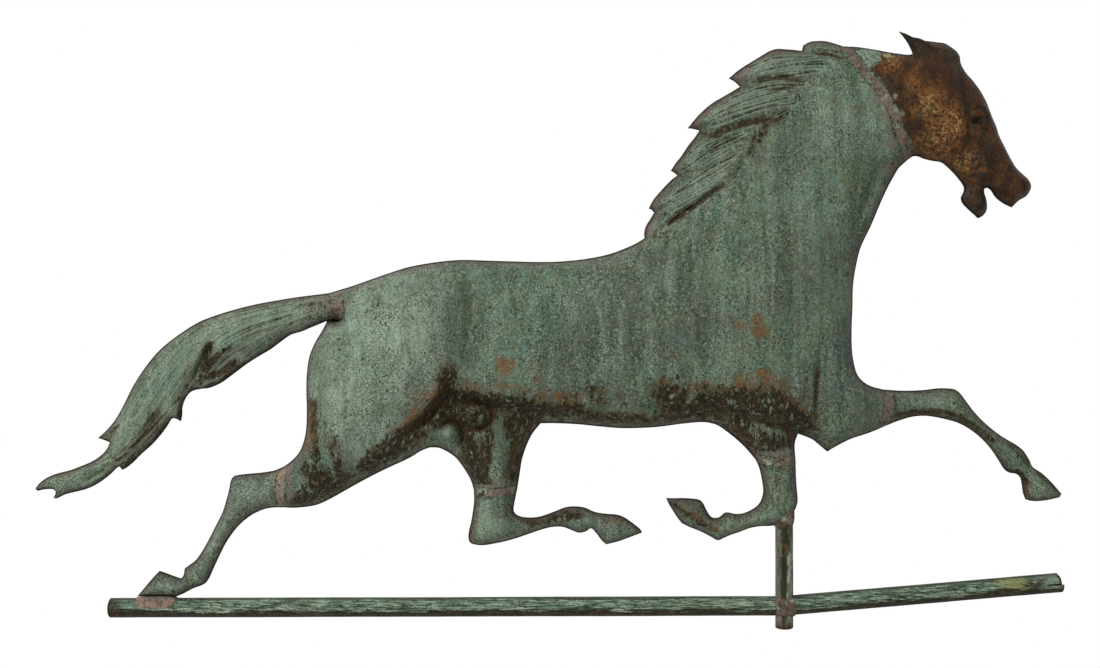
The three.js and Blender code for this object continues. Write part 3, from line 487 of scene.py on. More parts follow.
TAIL_LOCKS = [
    ([(334, 296), (280, 304), (237, 313), (205, 324), (180, 340), (160, 358), (145, 378), (130, 405),
      (118, 425), (102, 437)],
     [(334, 300), (285, 309), (246, 320), (216, 334), (193, 353), (172, 380), (152, 408), (135, 428),
      (122, 440), (112, 444)], 6, 0.62),
    ([(334, 302), (285, 311), (246, 322), (216, 337), (193, 357), (172, 384), (152, 412), (134, 432),
      (112, 452), (88, 466), (60, 477), (40, 486)],
     [(334, 307), (290, 320), (250, 334), (220, 352), (202, 372), (184, 398), (165, 420), (146, 440),
      (124, 460), (98, 477), (76, 489), (58, 495)], 9, 0.62),
    ([(334, 309), (294, 322), (256, 337), (228, 352), (210, 372), (198, 384), (188, 396), (183, 412)],
     [(330, 317), (304, 327), (280, 338), (256, 354), (236, 368), (218, 380), (204, 386), (196, 389)],
     8, 0.62),
    ([(196, 384), (184, 400), (166, 424), (148, 444), (134, 456), (125, 465)],
     [(192, 392), (182, 406), (170, 422), (154, 442), (140, 454), (127, 467)], 4, 0.62),
]

# Colour of the patina, with painted shade in some of the dark bands and painted highlights in some of the
# pale spots. A band is a path, its half width and its strength.
# A spot is x, y, its reach and its strength.
# Dark bands: dark deposits, and painted shade under the belly and in the recesses between the legs.
DEPOSIT_AND_SHADE_BANDS = [
    ([(452, 372), (448, 388), (462, 396), (500, 400), (545, 408), (575, 408)], 9, 1),
    ([(490, 412), (505, 424), (530, 421)], 16, 1), ([(456, 414), (472, 414), (492, 418)], 15, 1),
    ([(492, 440), (480, 470), (484, 484)], 11, 1), ([(466, 426), (470, 452), (477, 480)], 9, 1),
    ([(527, 426), (516, 450), (514, 480)], 8, 0.85),
    ([(446, 398), (428, 420), (404, 440), (372, 462)], 12, 0.95),
    ([(372, 462), (336, 484), (300, 500)], 8, 0.8),
    ([(575, 412), (610, 417), (650, 418), (690, 414)], 7, 0.75),
    ([(540, 398), (600, 398), (640, 404)], 8, 0.35),
    ([(664, 396), (690, 402), (730, 402), (770, 406), (800, 425)], 17, 1),
    ([(734, 425), (752, 440), (770, 446)], 15, 0.95), ([(790, 432), (790, 452)], 7, 0.9),
    ([(586, 388), (602, 388)], 4, 0.8), ([(590, 388), (590, 398)], 3, 0.7),
    ([(600, 388), (600, 396)], 3, 0.7), ([(338, 440), (344, 470)], 8, 0.6),
    ([(312, 470), (330, 476), (312, 490)], 12, 0.7), ([(315, 404), (317, 430), (320, 456)], 6, 0.7),
    ([(213, 346), (206, 364), (200, 380)], 6, 1), ([(202, 378), (220, 374), (240, 362)], 6, 1),
    ([(202, 374), (214, 371), (228, 369)], 12, 1.3), ([(215, 352), (212, 366)], 9, 1),
    ([(216, 354), (236, 350), (248, 347)], 4, 0.8), ([(335, 308), (295, 314), (255, 330)], 16, 0.34),
    ([(300, 296), (240, 310), (196, 332)], 7, 0.2), ([(700, 140), (740, 118), (790, 96)], 22, 0.2),
    ([(158, 417), (150, 432), (138, 446)], 7, 1), ([(132, 450), (125, 461)], 7, 1),
    ([(120, 425), (112, 436)], 3, 0.6), ([(184, 400), (181, 414)], 4, 0.8),
    ([(190, 386), (214, 384), (238, 366)], 4, 0.8), ([(126, 470), (146, 450), (166, 424)], 3, 0.7),
    ([(892, 414), (915, 411), (935, 411), (950, 414), (960, 419), (975, 428), (990, 440)], 2.6, 1),
    ([(892, 419), (930, 415), (962, 426)], 4, 0.4), ([(1005, 470), (1018, 472), (1024, 482)], 2.5, 0.9),
    ([(1010, 442), (1020, 450), (1026, 460)], 2.5, 0.9),
    ([(1035, 472), (1050, 485), (1060, 494)], 2.2, 0.8), ([(530, 521), (552, 516), (578, 513)], 4.4, 1.2),
    ([(672, 502), (690, 515), (712, 528)], 4, 0.6), ([(470, 512), (470, 540)], 3, 0.5),
    ([(522, 520), (548, 514), (574, 516)], 3, 0.6),
    ([(780, 116), (764, 128), (752, 142), (744, 156)], 6, 0.5), ([(790, 468), (786, 490)], 3, 0.5),
    ([(160, 590), (176, 590)], 3, 0.4), ([(1008, 446), (1022, 462)], 4, 0.4),
    ([(776, 470), (772, 500)], 6, 0.28),
]
GREEN_STREAKS = [
    ([(499, 418), (500, 440), (497, 470)], 6, 1), ([(449, 428), (452, 437)], 4.5, 1),
    ([(482, 415), (481, 419)], 2.4, 1), ([(610, 398), (640, 402), (660, 402)], 6, 0.35),
    ([(354, 436), (357, 474)], 5, 0.9), ([(761, 454), (791, 453)], 6, 1),
    ([(476, 486), (516, 484)], 4, 0.9), ([(690, 392), (684, 402)], 5, 0.7),
    ([(650, 402), (646, 414)], 5, 0.6),
]
RUST_SPOTS = [
    (506, 365, 10, 1.3), (500, 384, 7, 0.7), (538, 379, 7, 0.7), (516, 346, 5, 0.5), (546, 388, 5, 0.6),
    (753, 331, 8, 1.3), (750, 319, 6, 1.1), (733, 326, 6, 0.7), (752, 352, 4, 0.5), (753, 372, 6, 0.9),
    (738, 384, 10, 0.7), (690, 384, 9, 0.6), (745, 402, 9, 0.5), (700, 410, 9, 0.5), (421, 402, 9, 0.5),
    (308, 420, 5, 0.7), (306, 446, 6, 0.8), (600, 392, 9, 0.45), (560, 402, 10, 0.5), (415, 425, 6, 0.6),
    (790, 414, 9, 0.5), (720, 430, 8, 0.6), (744, 448, 5, 0.6), (472, 538, 4, 0.9), (322, 478, 9, 0.5),
    (632, 412, 8, 0.4),
]
RUST_BANDS = [
    ([(462, 384), (500, 385), (545, 392), (580, 398)], 7, 0.5),
    ([(664, 384), (700, 380), (735, 384)], 7, 0.45),
    ([(735, 384), (756, 372), (770, 392), (800, 412)], 8, 0.55),
    ([(443, 384), (424, 404), (398, 430)], 6, 0.6), ([(313, 400), (315, 424), (306, 448)], 7, 0.65),
    ([(600, 420), (650, 422), (690, 417)], 5, 0.45), ([(716, 428), (738, 442), (756, 462)], 5, 0.5),
    ([(590, 254), (640, 243)], 4, 0.55), ([(398, 269), (450, 261)], 4, 0.5),
    ([(560, 262), (520, 262)], 3, 0.4), ([(850, 250), (855, 330)], 3, 0.35),
    ([(884, 419), (930, 414)], 3, 0.5), ([(1022, 480), (1024, 490), (1030, 499)], 3, 0.8),
    ([(228, 500), (204, 548), (184, 578)], 3, 0.2), ([(66, 474), (96, 460), (110, 440)], 3, 0.5),
    ([(680, 505), (704, 520), (716, 530)], 3, 0.5), ([(520, 513), (560, 508), (584, 511)], 3, 0.3),
    ([(604, 521), (622, 518), (642, 531)], 2.5, 0.6), ([(474, 545), (476, 520)], 3, 0.6),
]
HEAD_OCHRE_SPOTS = [
    (944, 126, 26, 0.9), (925, 100, 20, 0.75), (905, 85, 18, 0.7), (902, 115, 14, 0.7), (932, 150, 18, 0.8),
    (957, 165, 14, 0.7), (970, 150, 14, 0.5), (915, 145, 12, 0.7), (884, 66, 12, 0.8), (990, 175, 14, 0.35),
    (896, 101, 9, 1), (900, 120, 9, 1), (978, 172, 8, 0.6),
]
# Where no strand crosses a dark pocket in the hair
POCKETS = [
    ([(213, 346), (207, 364), (201, 380)], 8, 1), ([(204, 376), (220, 374), (238, 362)], 7, 1),
    ([(716, 134), (743, 127), (768, 122)], 5, 1), ([(758, 84), (776, 81), (794, 84)], 4, 1),
]
SANDY_SPOTS = [
    (945, 128, 17, 0.8), (922, 110, 16, 0.55), (932, 140, 18, 0.6), (960, 162, 10, 0.7), (905, 95, 10, 0.3),
    (890, 62, 9, 0.8),
]
MAUVE_SPOTS = [
    (733, 78, 12, 1), (745, 70, 8, 0.8), (762, 57, 7, 0.8), (776, 51, 7, 0.7), (803, 48, 6, 1),
    (818, 44, 7, 0.7), (692, 124, 9, 1), (704, 112, 8, 0.8), (722, 100, 6, 0.7), (674, 168, 8, 1),
    (684, 154, 7, 0.8), (652, 206, 8, 1), (662, 192, 7, 0.8), (647, 232, 8, 1), (654, 217, 6, 0.8),
    (838, 50, 8, 0.9), (868, 92, 8, 0.8), (875, 104, 8, 0.9), (880, 118, 8, 0.9), (884, 132, 8, 0.9),
    (886, 146, 8, 0.9), (888, 170, 12, 0.7), (903, 158, 10, 0.8), (290, 468, 7, 1), (291, 480, 7, 1),
    (292, 493, 7, 0.9), (240, 477, 9, 0.6), (262, 474, 8, 0.5), (60, 478, 9, 0.5), (104, 440, 7, 0.7),
    (92, 463, 9, 0.6), (338, 305, 16, 0.9), (478, 470, 8, 0.6), (878, 396, 6, 0.9), (879, 410, 6, 0.9),
    (876, 422, 6, 0.9), (866, 386, 6, 0.8), (856, 380, 5, 0.7), (457, 458, 6, 0.8), (466, 471, 6, 0.8),
    (508, 484, 9, 0.9), (495, 483, 9, 0.7), (790, 455, 7, 0.9), (766, 454, 7, 0.9), (778, 453, 7, 0.9),
    (482, 485, 6, 0.8),
]
# Pale spots: pale patina, and painted highlights on the haunch, the thigh and a boss below the belly.
PALE_PATINA_AND_HIGHLIGHT_SPOTS = [
    (395, 335, 66, 0.8), (345, 385, 52, 0.85), (330, 320, 34, 0.8), (160, 390, 40, 0.1),
    (130, 430, 34, 0.5), (60, 483, 30, 0.5), (860, 130, 40, 0.5), (820, 120, 40, 0.45), (440, 285, 36, 0.3),
    (790, 220, 60, 0.35), (866, 58, 15, 1), (884, 58, 7, 0.7), (845, 412, 22, 0.2), (930, 400, 36, 0.35),
    (985, 435, 25, 0.4), (1040, 485, 22, 0.3), (250, 492, 24, 0.5), (215, 535, 30, 0.75),
    (165, 585, 18, 0.3), (745, 520, 22, 0.5), (590, 524, 22, 0.45), (490, 518, 18, 0.5),
    (776, 486, 12, 0.5), (640, 530, 20, 0.3), (700, 515, 20, 0.1), (896, 118, 6, 0.7), (888, 100, 5, 0.6),
    (770, 72, 26, 0.35), (735, 110, 24, 0.25), (385, 440, 34, 0.8), (840, 290, 30, 0.3), (885, 172, 7, 0.8),
    (877, 190, 7, 0.8), (867, 210, 7, 0.7), (449, 431, 5, 1), (225, 355, 4, 0.8),
]


FADED = 40  # the exponent at which a bell has faded to nothing
FAINTEST = 1e-8
NEXT_TO_NOTHING = 1e-9


def bell(exponent):
    """A bell curve, which never quite reaches nothing."""
    return np.exp(-np.minimum(exponent, FADED))


def of_side(values, side):
    """The near or the far value, or the one that both sides have."""
    return values[0] if side > 0 else values[-1]


def weighed(points, spots, side):
    """A soft average of one side's values, each strongest at its own spot."""
    total = np.full(len(points), NEXT_TO_NOTHING)
    value = np.full(len(points), NEXT_TO_NOTHING)
    for spot in spots:
        away = ((points - spot[:2]) ** 2).sum(1) / (2 * spot[2] ** 2)
        weight = bell(away) + FAINTEST
        total += weight
        value += weight * of_side(spot[3:], side)
    return value / total


def swelling(points, side):
    """How high the soft swellings raise each point."""
    height = np.zeros(len(points))
    for x, y, along, across, turn, *heights in SWELLINGS:
        cosine, sine = math.cos(math.radians(turn)), math.sin(math.radians(turn))
        dx, dy = points[:, 0] - x, points[:, 1] - y
        u = (dx * cosine + dy * sine) / along
        v = (dy * cosine - dx * sine) / across
        height += of_side(heights, side) * np.exp(-(u * u + v * v))
    return height


PATH_STEP_PX = 3
CREASE_REACH = 3  # in half widths
CREASE_END_SHARE = 0.3
CREASE_END_DEPTH = 0.25
FOLD_END_SHARE = 0.1
FOLD_EDGE_PX = (-4, 5)
FOLD_FULL_SHARE = 0.4


def eased_ends(share, start, end):
    """Fades towards both ends of a path, each over its own share of the way."""
    return smooth_step(0, start, share) * smooth_step(0, end, 1 - share)


def creasing(points, side, widest=math.inf):
    """How deep the creases no wider than the widest one are sunk."""
    depth = np.zeros(len(points))
    for path, width, *depths in CREASES:
        sunk = of_side(depths, side)
        if not sunk or width > widest:
            continue
        close = within(points, path, CREASE_REACH * width)
        gap, share, _ = Edge(spline(path, PATH_STEP_PX), closed=False).measure(points[close])
        ends = eased_ends(share, CREASE_END_SHARE, CREASE_END_SHARE)
        kept = CREASE_END_DEPTH + (1 - CREASE_END_DEPTH) * ends
        depth[close] += sunk * np.exp(-(gap / width) ** 2) * kept
    return depth


def folding(points, side):
    """What share of its depth the surface keeps beside its folds."""
    kept = np.ones(len(points))
    for path, *shares, fade in FOLDS:
        share_sunk = of_side(shares, side)
        if not share_sunk:
            continue
        close = within(points, path, fade)
        gap, share, right = Edge(spline(path, PATH_STEP_PX), closed=False).measure(points[close])
        step = smooth_step(*FOLD_EDGE_PX, gap * right)
        ends = eased_ends(share, FOLD_END_SHARE, FOLD_END_SHARE)
        kept[close] *= 1 - share_sunk * step * ends * (1 - smooth_step(FOLD_FULL_SHARE * fade, fade, gap))
    return kept


def within(points, path, reach):
    """Which points lie in the box round a path, or within reach of that box."""
    corners = np.array([point[:2] for point in path], float)
    low, high = corners.min(0) - reach, corners.max(0) + reach
    return np.nonzero(((points >= low) & (points <= high)).all(1))[0]


STRAND_STEPS = 40
STRAND_SHIFT = 0.3  # of the room between two strands
STRAND_WAVE_PX = (0.5, 1.9)
STRAND_WAVE_TURNS = (4, 11)  # radians of wave along it
STRAND_LATEST_START = 0.45
STRAND_SHORTEST_END = 0.3
STRAND_STRENGTH = (0.5, 1)
ANY_PHASE = (0, 6)


def strand_paths(locks, random):
    """The paths of the grooves between strands, with each one's own depth."""
    made = []
    steps = np.linspace(0, 1, STRAND_STEPS)
    for upper, lower, count, weight in locks:
        first, last = (resampled(edge, PATH_STEP_PX, steps) for edge in (upper, lower))
        normal = last - first
        normal /= np.maximum(np.linalg.norm(normal, axis=1, keepdims=True), 1)
        for strand in range(count):
            share = (strand + 0.5 + random.uniform(-STRAND_SHIFT, STRAND_SHIFT)) / count
            path = first * (1 - share) + last * share
            phase = random.uniform(*ANY_PHASE)
            width = random.uniform(*STRAND_WAVE_PX)
            wave = width * np.sin(steps * random.uniform(*STRAND_WAVE_TURNS) + phase)
            start = round(random.uniform(0, STRAND_LATEST_START) * STRAND_STEPS)
            end = STRAND_STEPS - round(random.uniform(0, STRAND_SHORTEST_END) * STRAND_STEPS)
            strength = weight * random.uniform(*STRAND_STRENGTH)
            made.append(((path + wave[:, None] * normal)[start:end], strength))
    return made


MANE_SEED, TAIL_SEED = 4, 9
STRANDS = {
    "mane": strand_paths(MANE_LOCKS, np.random.default_rng(MANE_SEED)),
    "tail": strand_paths(TAIL_LOCKS, np.random.default_rng(TAIL_SEED)),
}
HAIR_REGIONS_PX = {"mane": ((640, 36), (872, 244)), "tail": ((30, 284), (338, 504))}
GROOVE_WIDTH_PX = 1.1
GROOVE_DEPTH = 1.5
GROOVE_ROOT_SHARE, GROOVE_TIP_SHARE = 0.15, 0.06


def grooves(points, hair, width):
    """How deep each point lies in a groove between strands, from 0 to 1."""
    depth = np.zeros(len(points))
    for path, strength in STRANDS[hair]:
        close = within(points, path, CREASE_REACH * width)
        if len(close) == 0:
            continue
        gap, share, _ = Edge(path, closed=False).measure(points[close])
        ends = eased_ends(share, GROOVE_ROOT_SHARE, GROOVE_TIP_SHARE)
        groove = strength * np.exp(-(gap / width) ** 2) * ends
        depth[close] = np.maximum(depth[close], groove)
    return depth


def hair_grooves(points):
    """How deep each point lies in the grooves of the mane or the tail."""
    depth = np.zeros(len(points))
    for hair, region in HAIR_REGIONS_PX.items():
        close = within(points, region, 0)
        if len(close):
            depth[close] = np.maximum(depth[close], grooves(points[close], hair, GROOVE_WIDTH_PX))
    return depth


MANE_END_SHARE = 0.05
MANE_EDGE_PX = (-1, 7)


def mane_share(points):
    """How far each point lies into the mane, from 0 on the neck to 1 in the hair."""
    share = np.zeros(len(points))
    close = within(points, HAIR_REGIONS_PX["mane"], 0)
    if len(close):
        border = Edge(spline(MANE_BORDER_PX, PATH_STEP_PX), closed=False)
        gap, along, right = border.measure(points[close])
        share[close] = smooth_step(*MANE_EDGE_PX, gap * right) * smooth_step(0, MANE_END_SHARE, along)
    return share


FLANGE_PX = 1.1
FLANGE_HEIGHT = 0.45
FLANGE_FADE_PX = 6
LEAST_GIRTH_PX = 2
ROUNDED_RIM_PX = (5, 14)  # where the rounding of the rim gives way to the swell
HAIR_EDGE_PX = 15
HAIR_THINNED = 0.75
RELIEF_START_PX = (1, 9)


def pressed_height(points, side):
    """How far each point of a half stands out from the middle plane, in millimetres."""
    rim, _, _ = OUTLINE_EDGE.measure(points)
    girth = np.maximum(sampled(GIRTH, points), LEAST_GIRTH_PX)
    inner = np.maximum(rim - FLANGE_PX, 0)
    near_edge = np.sqrt(np.maximum(2 * girth * inner - inner**2, 0))
    deep = np.sqrt(np.maximum(sampled(SWELL, points), 0))
    mix = smooth_step(*ROUNDED_RIM_PX, rim)
    shape = (near_edge * (1 - mix) + deep * mix) / girth
    depth = BARREL_DEPTH * (girth / BARREL_GIRTH_PX) ** DEPTH_POWER
    depth = np.minimum(depth * weighed(points, REGION_DEPTH_SHARES, side), DEEPEST)
    mane = mane_share(points)
    thin = 1 - HAIR_THINNED * mane * (1 - smooth_step(0, HAIR_EDGE_PX, rim))
    height = shape * depth * thin * folding(points, side)
    relief = swelling(points, side) - creasing(points, side) + MANE_PROUD * mane
    relief -= GROOVE_DEPTH * hair_grooves(points)
    height += relief * smooth_step(*RELIEF_START_PX, rim)
    return np.clip(height, 0, DEEPEST) + FLANGE_HEIGHT * (1 - smooth_step(0, FLANGE_FADE_PX, rim))


BAND_REACH = 2.5  # in half widths
BAND_STEP_PX = 4


def band_mask(points, bands):
    """How strongly the bands colour each point."""
    mask = np.zeros(len(points))
    for path, width, strength in bands:
        close = within(points, path, BAND_REACH * width)
        if len(close):
            gap, _, _ = Edge(spline(path, BAND_STEP_PX), closed=False).measure(points[close])
            mask[close] = np.maximum(mask[close], strength * np.exp(-(gap / width) ** 2))
    return mask


def spot_mask(points, spots):
    """How strongly the spots colour each point."""
    mask = np.zeros(len(points))
    for x, y, reach, strength in spots:
        away = ((points - (x, y)) ** 2).sum(1) / reach**2
        mask = np.maximum(mask, strength * bell(away))
    return mask


NARROW_PX = 5
BARE_EDGE_PX = 3.4
RIM_EDGE_PX, RIM_SHARPNESS = 2.3, 1.6
DARK_CREASE = 3.4
VALLEY_SHADE_DEPTH = 8
FINISH_MASKS = ("deposit", "rust", "bare", "rim", "groove", "crease", "pale", "sandy", "valley")


def finish_masks(points):
    """Where the patina is dark, rusted, bare or worn, and where shade and highlights are painted, from 0 to
    1.
    """
    rim, _, _ = OUTLINE_EDGE.measure(points)
    rusty_spots = spot_mask(points, RUST_SPOTS + HEAD_OCHRE_SPOTS)
    bare_hair = mane_share(points) * np.exp(-(rim / BARE_EDGE_PX) ** 2)
    return {
        # dark deposits, and painted shade under the belly and between the legs
        "deposit": band_mask(points, DEPOSIT_AND_SHADE_BANDS) * (1 - band_mask(points, GREEN_STREAKS)),
        "rust": np.maximum(rusty_spots, band_mask(points, RUST_BANDS)),
        "bare": np.maximum(spot_mask(points, MAUVE_SPOTS), bare_hair),
        "rim": np.exp(-(rim / RIM_EDGE_PX) ** RIM_SHARPNESS),
        "groove": hair_grooves(points) * (1 - band_mask(points, POCKETS)),
        "crease": np.clip(creasing(points, 1, NARROW_PX) / DARK_CREASE, 0, 1),
        # painted shade in the broad hollows, such as the valley of the flank
        "valley": np.clip(creasing(points, 1) / VALLEY_SHADE_DEPTH, 0, 1),
        # pale patina, with painted highlights on the haunch, the thigh and a boss
        "pale": spot_mask(points, PALE_PATINA_AND_HIGHLIGHT_SPOTS),
        "sandy": spot_mask(points, SANDY_SPOTS),
    }


# Meshes

RIM_ROWS_PX = (1.1, 2.2, 4)
GRID_PX = 2.6
LIMB_GRID_PX = 1.7
HAIR_GRID_PX = 1.2
LINING_GRID_PX = 9
LINING_ROWS_PX = (4,)
ROW_KEPT_SHARE = 0.85
HAIR_START = 0.05  # the share of mane from which the net is finer
SHEET = 1.0 * MM
THIN = 0.05 * MM
RIM_GAP = 0.2 * MM
SAME_PLACE = 1e-4  # how near two points of a net count as one


def staggered_grid(loop, spacing, margin):
    """Points on a staggered grid inside a loop, a margin away from it."""
    points = []
    step = spacing * math.sqrt(3) / 2
    low, high = loop[:, 1].min(), loop[:, 1].max()
    for row in range(math.ceil(low / step), math.floor(high / step) + 1):
        shift = spacing / 2 * (row % 2)
        for left, right in crossings(loop, row * step):
            first = math.ceil((left - shift) / spacing)
            last = math.floor((right - shift) / spacing)
            points += [(spacing * column + shift, row * step) for column in range(first, last + 1)]
    points = np.array(points, float).reshape(-1, 2)
    gap, _, _ = Edge(loop).measure(points)
    return points[gap > margin]


def rim_rows(loop, offsets):
    """Rows of points that follow a loop a little way inside it."""
    edge = Edge(loop)
    along = np.roll(loop, -1, axis=0) - np.roll(loop, 1, axis=0)
    normal = np.stack([-along[:, 1], along[:, 0]], axis=1)
    normal /= np.maximum(np.linalg.norm(normal, axis=1, keepdims=True), 1e-6)
    after = np.roll(loop, -1, axis=0)
    area = (loop[:, 0] * after[:, 1] - after[:, 0] * loop[:, 1]).sum()
    inward = normal if area > 0 else -normal
    rows = []
    for offset in offsets:
        row = loop + inward * offset
        gap, _, _ = edge.measure(row)
        rows.append(row[gap > ROW_KEPT_SHARE * offset])
    return rows


def fabric_of(loop, spacing, offsets=RIM_ROWS_PX):
    """Flat points and triangles that fill a loop, its own points first."""
    rows = rim_rows(loop, offsets)
    margin = offsets[-1] + spacing / 2
    grid = staggered_grid(loop, spacing, margin)
    if spacing == GRID_PX:
        fine = staggered_grid(loop, HAIR_GRID_PX, margin)
        grid = np.vstack([grid[mane_share(grid) < HAIR_START], fine[mane_share(fine) >= HAIR_START]])
    points = np.vstack([loop, *rows, grid])
    flipped = [Vector((x, -y)) for x, y in points]
    edges = [(i, (i + 1) % len(loop)) for i in range(len(loop))]
    made = delaunay_2d_cdt(flipped, edges, [], 0, SAME_PLACE, False)
    flat = np.array([(v.x, -v.y) for v in made[0]])
    faces = np.array([list(face) for face in made[2]], int)
    return flat, faces[inside(flat[faces].mean(1), loop)]


def in_scene(name, data):
    """A new object in the scene that holds a mesh, a lamp or a camera."""
    made = bpy.data.objects.new(name, data)
    bpy.context.scene.collection.objects.link(made)
    return made


def from_bmesh(name, work):
    """A new object from a mesh in the making, which is freed."""
    mesh = bpy.data.meshes.new(name)
    work.to_mesh(mesh)
    work.free()
    return in_scene(name, mesh)


def shaded(mesh, sharp):
    """Shades a mesh smooth, apart from edges sharper than an angle in degrees."""
    mesh.shade_smooth()
    mesh.set_sharp_from_angle(angle=math.radians(sharp))


def as_object(name, vertices, faces, masks=None, sharp=55):
    """An object from vertices and faces, with its masks stored at the vertices."""
    mesh = bpy.data.meshes.new(name)
    mesh.from_pydata([tuple(v) for v in vertices], [], [tuple(f) for f in faces])
    mesh.validate()
    for mask_name, values in (masks or {}).items():
        layer = mesh.attributes.new(mask_name, "FLOAT", "POINT")
        layer.data.foreach_set("value", np.asarray(values, np.float32))
    shaded(mesh, sharp)
    return in_scene(name, mesh)


def lowest_near(points, among, values):
    """The lowest value within a lining triangle's reach of each point: no lining shows through."""
    tree = KDTree(len(among))
    for index, (x, y) in enumerate(among):
        tree.insert((x, y, 0), index)
    tree.balance()
    return np.array([
        min(values[index] for _, index, _ in tree.find_range((x, y, 0), LINING_GRID_PX)) for x, y in points
    ])


def closed_skin(near_faces, far_faces, base, rim):
    """The faces of two nets over one rim, and of the strip that joins them along it."""
    strip = [(i, base + i, base + (i + 1) % rim, (i + 1) % rim) for i in range(rim)]
    return [*near_faces.tolist(), *(face[::-1] for face in (far_faces + base).tolist()), *strip]


def pressed_half(name, loop, side, spacing):
    """One pressed half: its outer face, its lining a sheet's thickness inside, and the rim between."""
    outer, outer_faces = fabric_of(loop, spacing)
    lining, lining_faces = fabric_of(loop, LINING_GRID_PX, LINING_ROWS_PX)
    rim = len(loop)
    assert np.allclose(outer[:rim], loop, atol=1e-3) and np.allclose(lining[:rim], loop, atol=1e-3)
    outer_height = pressed_height(outer, side) * MM
    lining_height = np.maximum(lowest_near(lining, outer, outer_height) - SHEET, THIN)
    lining_height[:rim] = np.minimum(lining_height[:rim], outer_height[:rim] - RIM_GAP)
    sign = -1 if side > 0 else 1
    vertices = []
    for flat, height in ((outer, outer_height), (lining, lining_height)):
        x, z = to_frame(flat)
        vertices.append(np.stack([x, sign * height, z], axis=1))
    faces = closed_skin(outer_faces, lining_faces, len(outer), rim)
    if side < 0:
        faces = [face[::-1] for face in faces]
    flat = np.vstack([outer, lining])
    return as_object(name, np.vstack(vertices), faces, finish_masks(flat))


VERGE_START = 0.3


def whole_form(name, loop, spacing, proud=0.0, offsets=RIM_ROWS_PX, verge=None):
    """A form with both its faces, near and far, that closes on itself along its rim.

    A verge is the curve that a band follows and its half width: the mask grows away from the curve.
    """
    flat, triangles = fabric_of(loop, spacing, offsets)
    x, z = to_frame(flat)
    heights = [pressed_height(flat, side) + proud for side in (1, -1)]
    vertices = np.vstack([
        np.stack([x, -heights[0] * MM, z], axis=1), np.stack([x, heights[1] * MM, z], axis=1),
    ])
    faces = closed_skin(triangles, triangles, len(flat), len(loop))
    masks = finish_masks(np.vstack([flat, flat]))
    if verge:
        curve, half_width = verge
        away, _, _ = Edge(curve, closed=False).measure(flat)
        masks["verge"] = np.tile(smooth_step(VERGE_START, 1, away / half_width), 2)
    return as_object(name, vertices, faces, masks)


# Turned and poured pieces


PIPE_SHARP = 40


def swept(name, rings, closed=False, sharp=PIPE_SHARP, masks=None):
    """A skin through rings of points, closed along its length if asked, and capped if not."""
    vertices = [point for ring in rings for point in ring]
    sides = len(rings[0])
    count = len(rings)
    faces = []
    for ring in range(count if closed else count - 1):
        for side in range(sides):
            a, b = ring * sides + side, ring * sides + (side + 1) % sides
            c, d = (ring + 1) % count * sides + side, (ring + 1) % count * sides + (side + 1) % sides
            faces.append((a, b, d, c))
    if not closed:
        faces += [tuple(range(sides))[::-1], tuple(range((count - 1) * sides, count * sides))]
    piece = as_object(name, vertices, faces, masks, sharp)
    outward(piece)
    return piece


def outward(piece):
    """Turns every face of a closed piece to look outwards."""
    work = bmesh.new()
    work.from_mesh(piece.data)
    bmesh.ops.recalc_face_normals(work, faces=work.faces)
    work.to_mesh(piece.data)
    work.free()


BROAD_DENTS = 38  # radians of wave to a metre
FINE_DENTS = 160
FINE_DENT_SHARE = 0.6


def dented(reach, turn, phases):
    """How far a worn surface stands out or in, as a sum of waves along and round it."""
    broad = sum(math.sin(reach * BROAD_DENTS / (k + 1) + phases[k] + (k + 1) * turn) for k in range(3))
    return broad + FINE_DENT_SHARE * math.sin(reach * FINE_DENTS + phases[3] + 2 * turn)


def lathe(name, profile, along, wobble, seed, closed=True, marks=None):
    """A profile of reach and radius turned about a line, a little uneven as worn metal is.

    Each mark grows from one reach to another. The masks low and right tell how low and how far to
    the right a place lies on the round.
    """
    phases = np.random.default_rng(seed).uniform(*ANY_PHASE, 6)
    rings = []
    masks = {"low": [], "right": [], **{mark: [] for mark in marks or {}}}
    for reach, radius in profile:
        ring = []
        for side in range(PIPE_SIDES):
            turn = 2 * math.pi * side / PIPE_SIDES
            uneven = radius + wobble * dented(reach, turn, phases)
            ring.append(along @ Vector((reach, uneven * math.cos(turn), uneven * math.sin(turn))))
            out = (ring[-1] - along @ Vector((reach, 0, 0))) / (2 * radius)
            masks["low"].append(0.5 - out.z)
            masks["right"].append(0.5 + out.x)
            for mark, (start, end) in (marks or {}).items():
                masks[mark].append(float(smooth_step(start, end, reach)))
        rings.append(ring)
    return swept(name, rings, closed=closed, masks=masks)


def along_bar(direction, tilt):
    """The place and turn of a bar that leaves the upright tube."""
    turn = Matrix.Rotation(-math.radians(tilt) if direction > 0 else math.radians(180 - tilt), 4, "Y")
    return Matrix.Translation((0, 0, BAR_HEIGHT)) @ turn


def steps_between(first, last, pitch):
    """Even steps from first to last, none longer than the pitch."""
    count = max(1, math.ceil(abs(last - first) / pitch))
    return [first + (last - first) * step / count for step in range(count + 1)]


LUMP_FULLNESS = 3.2  # 2 would be an ellipsoid, more is nearer to a box
LUMP_WAVES = 8
LUMP_WAVE_TURNS = (2, 6)
LUMP_RINGS, LUMP_SIDES = 28, 40


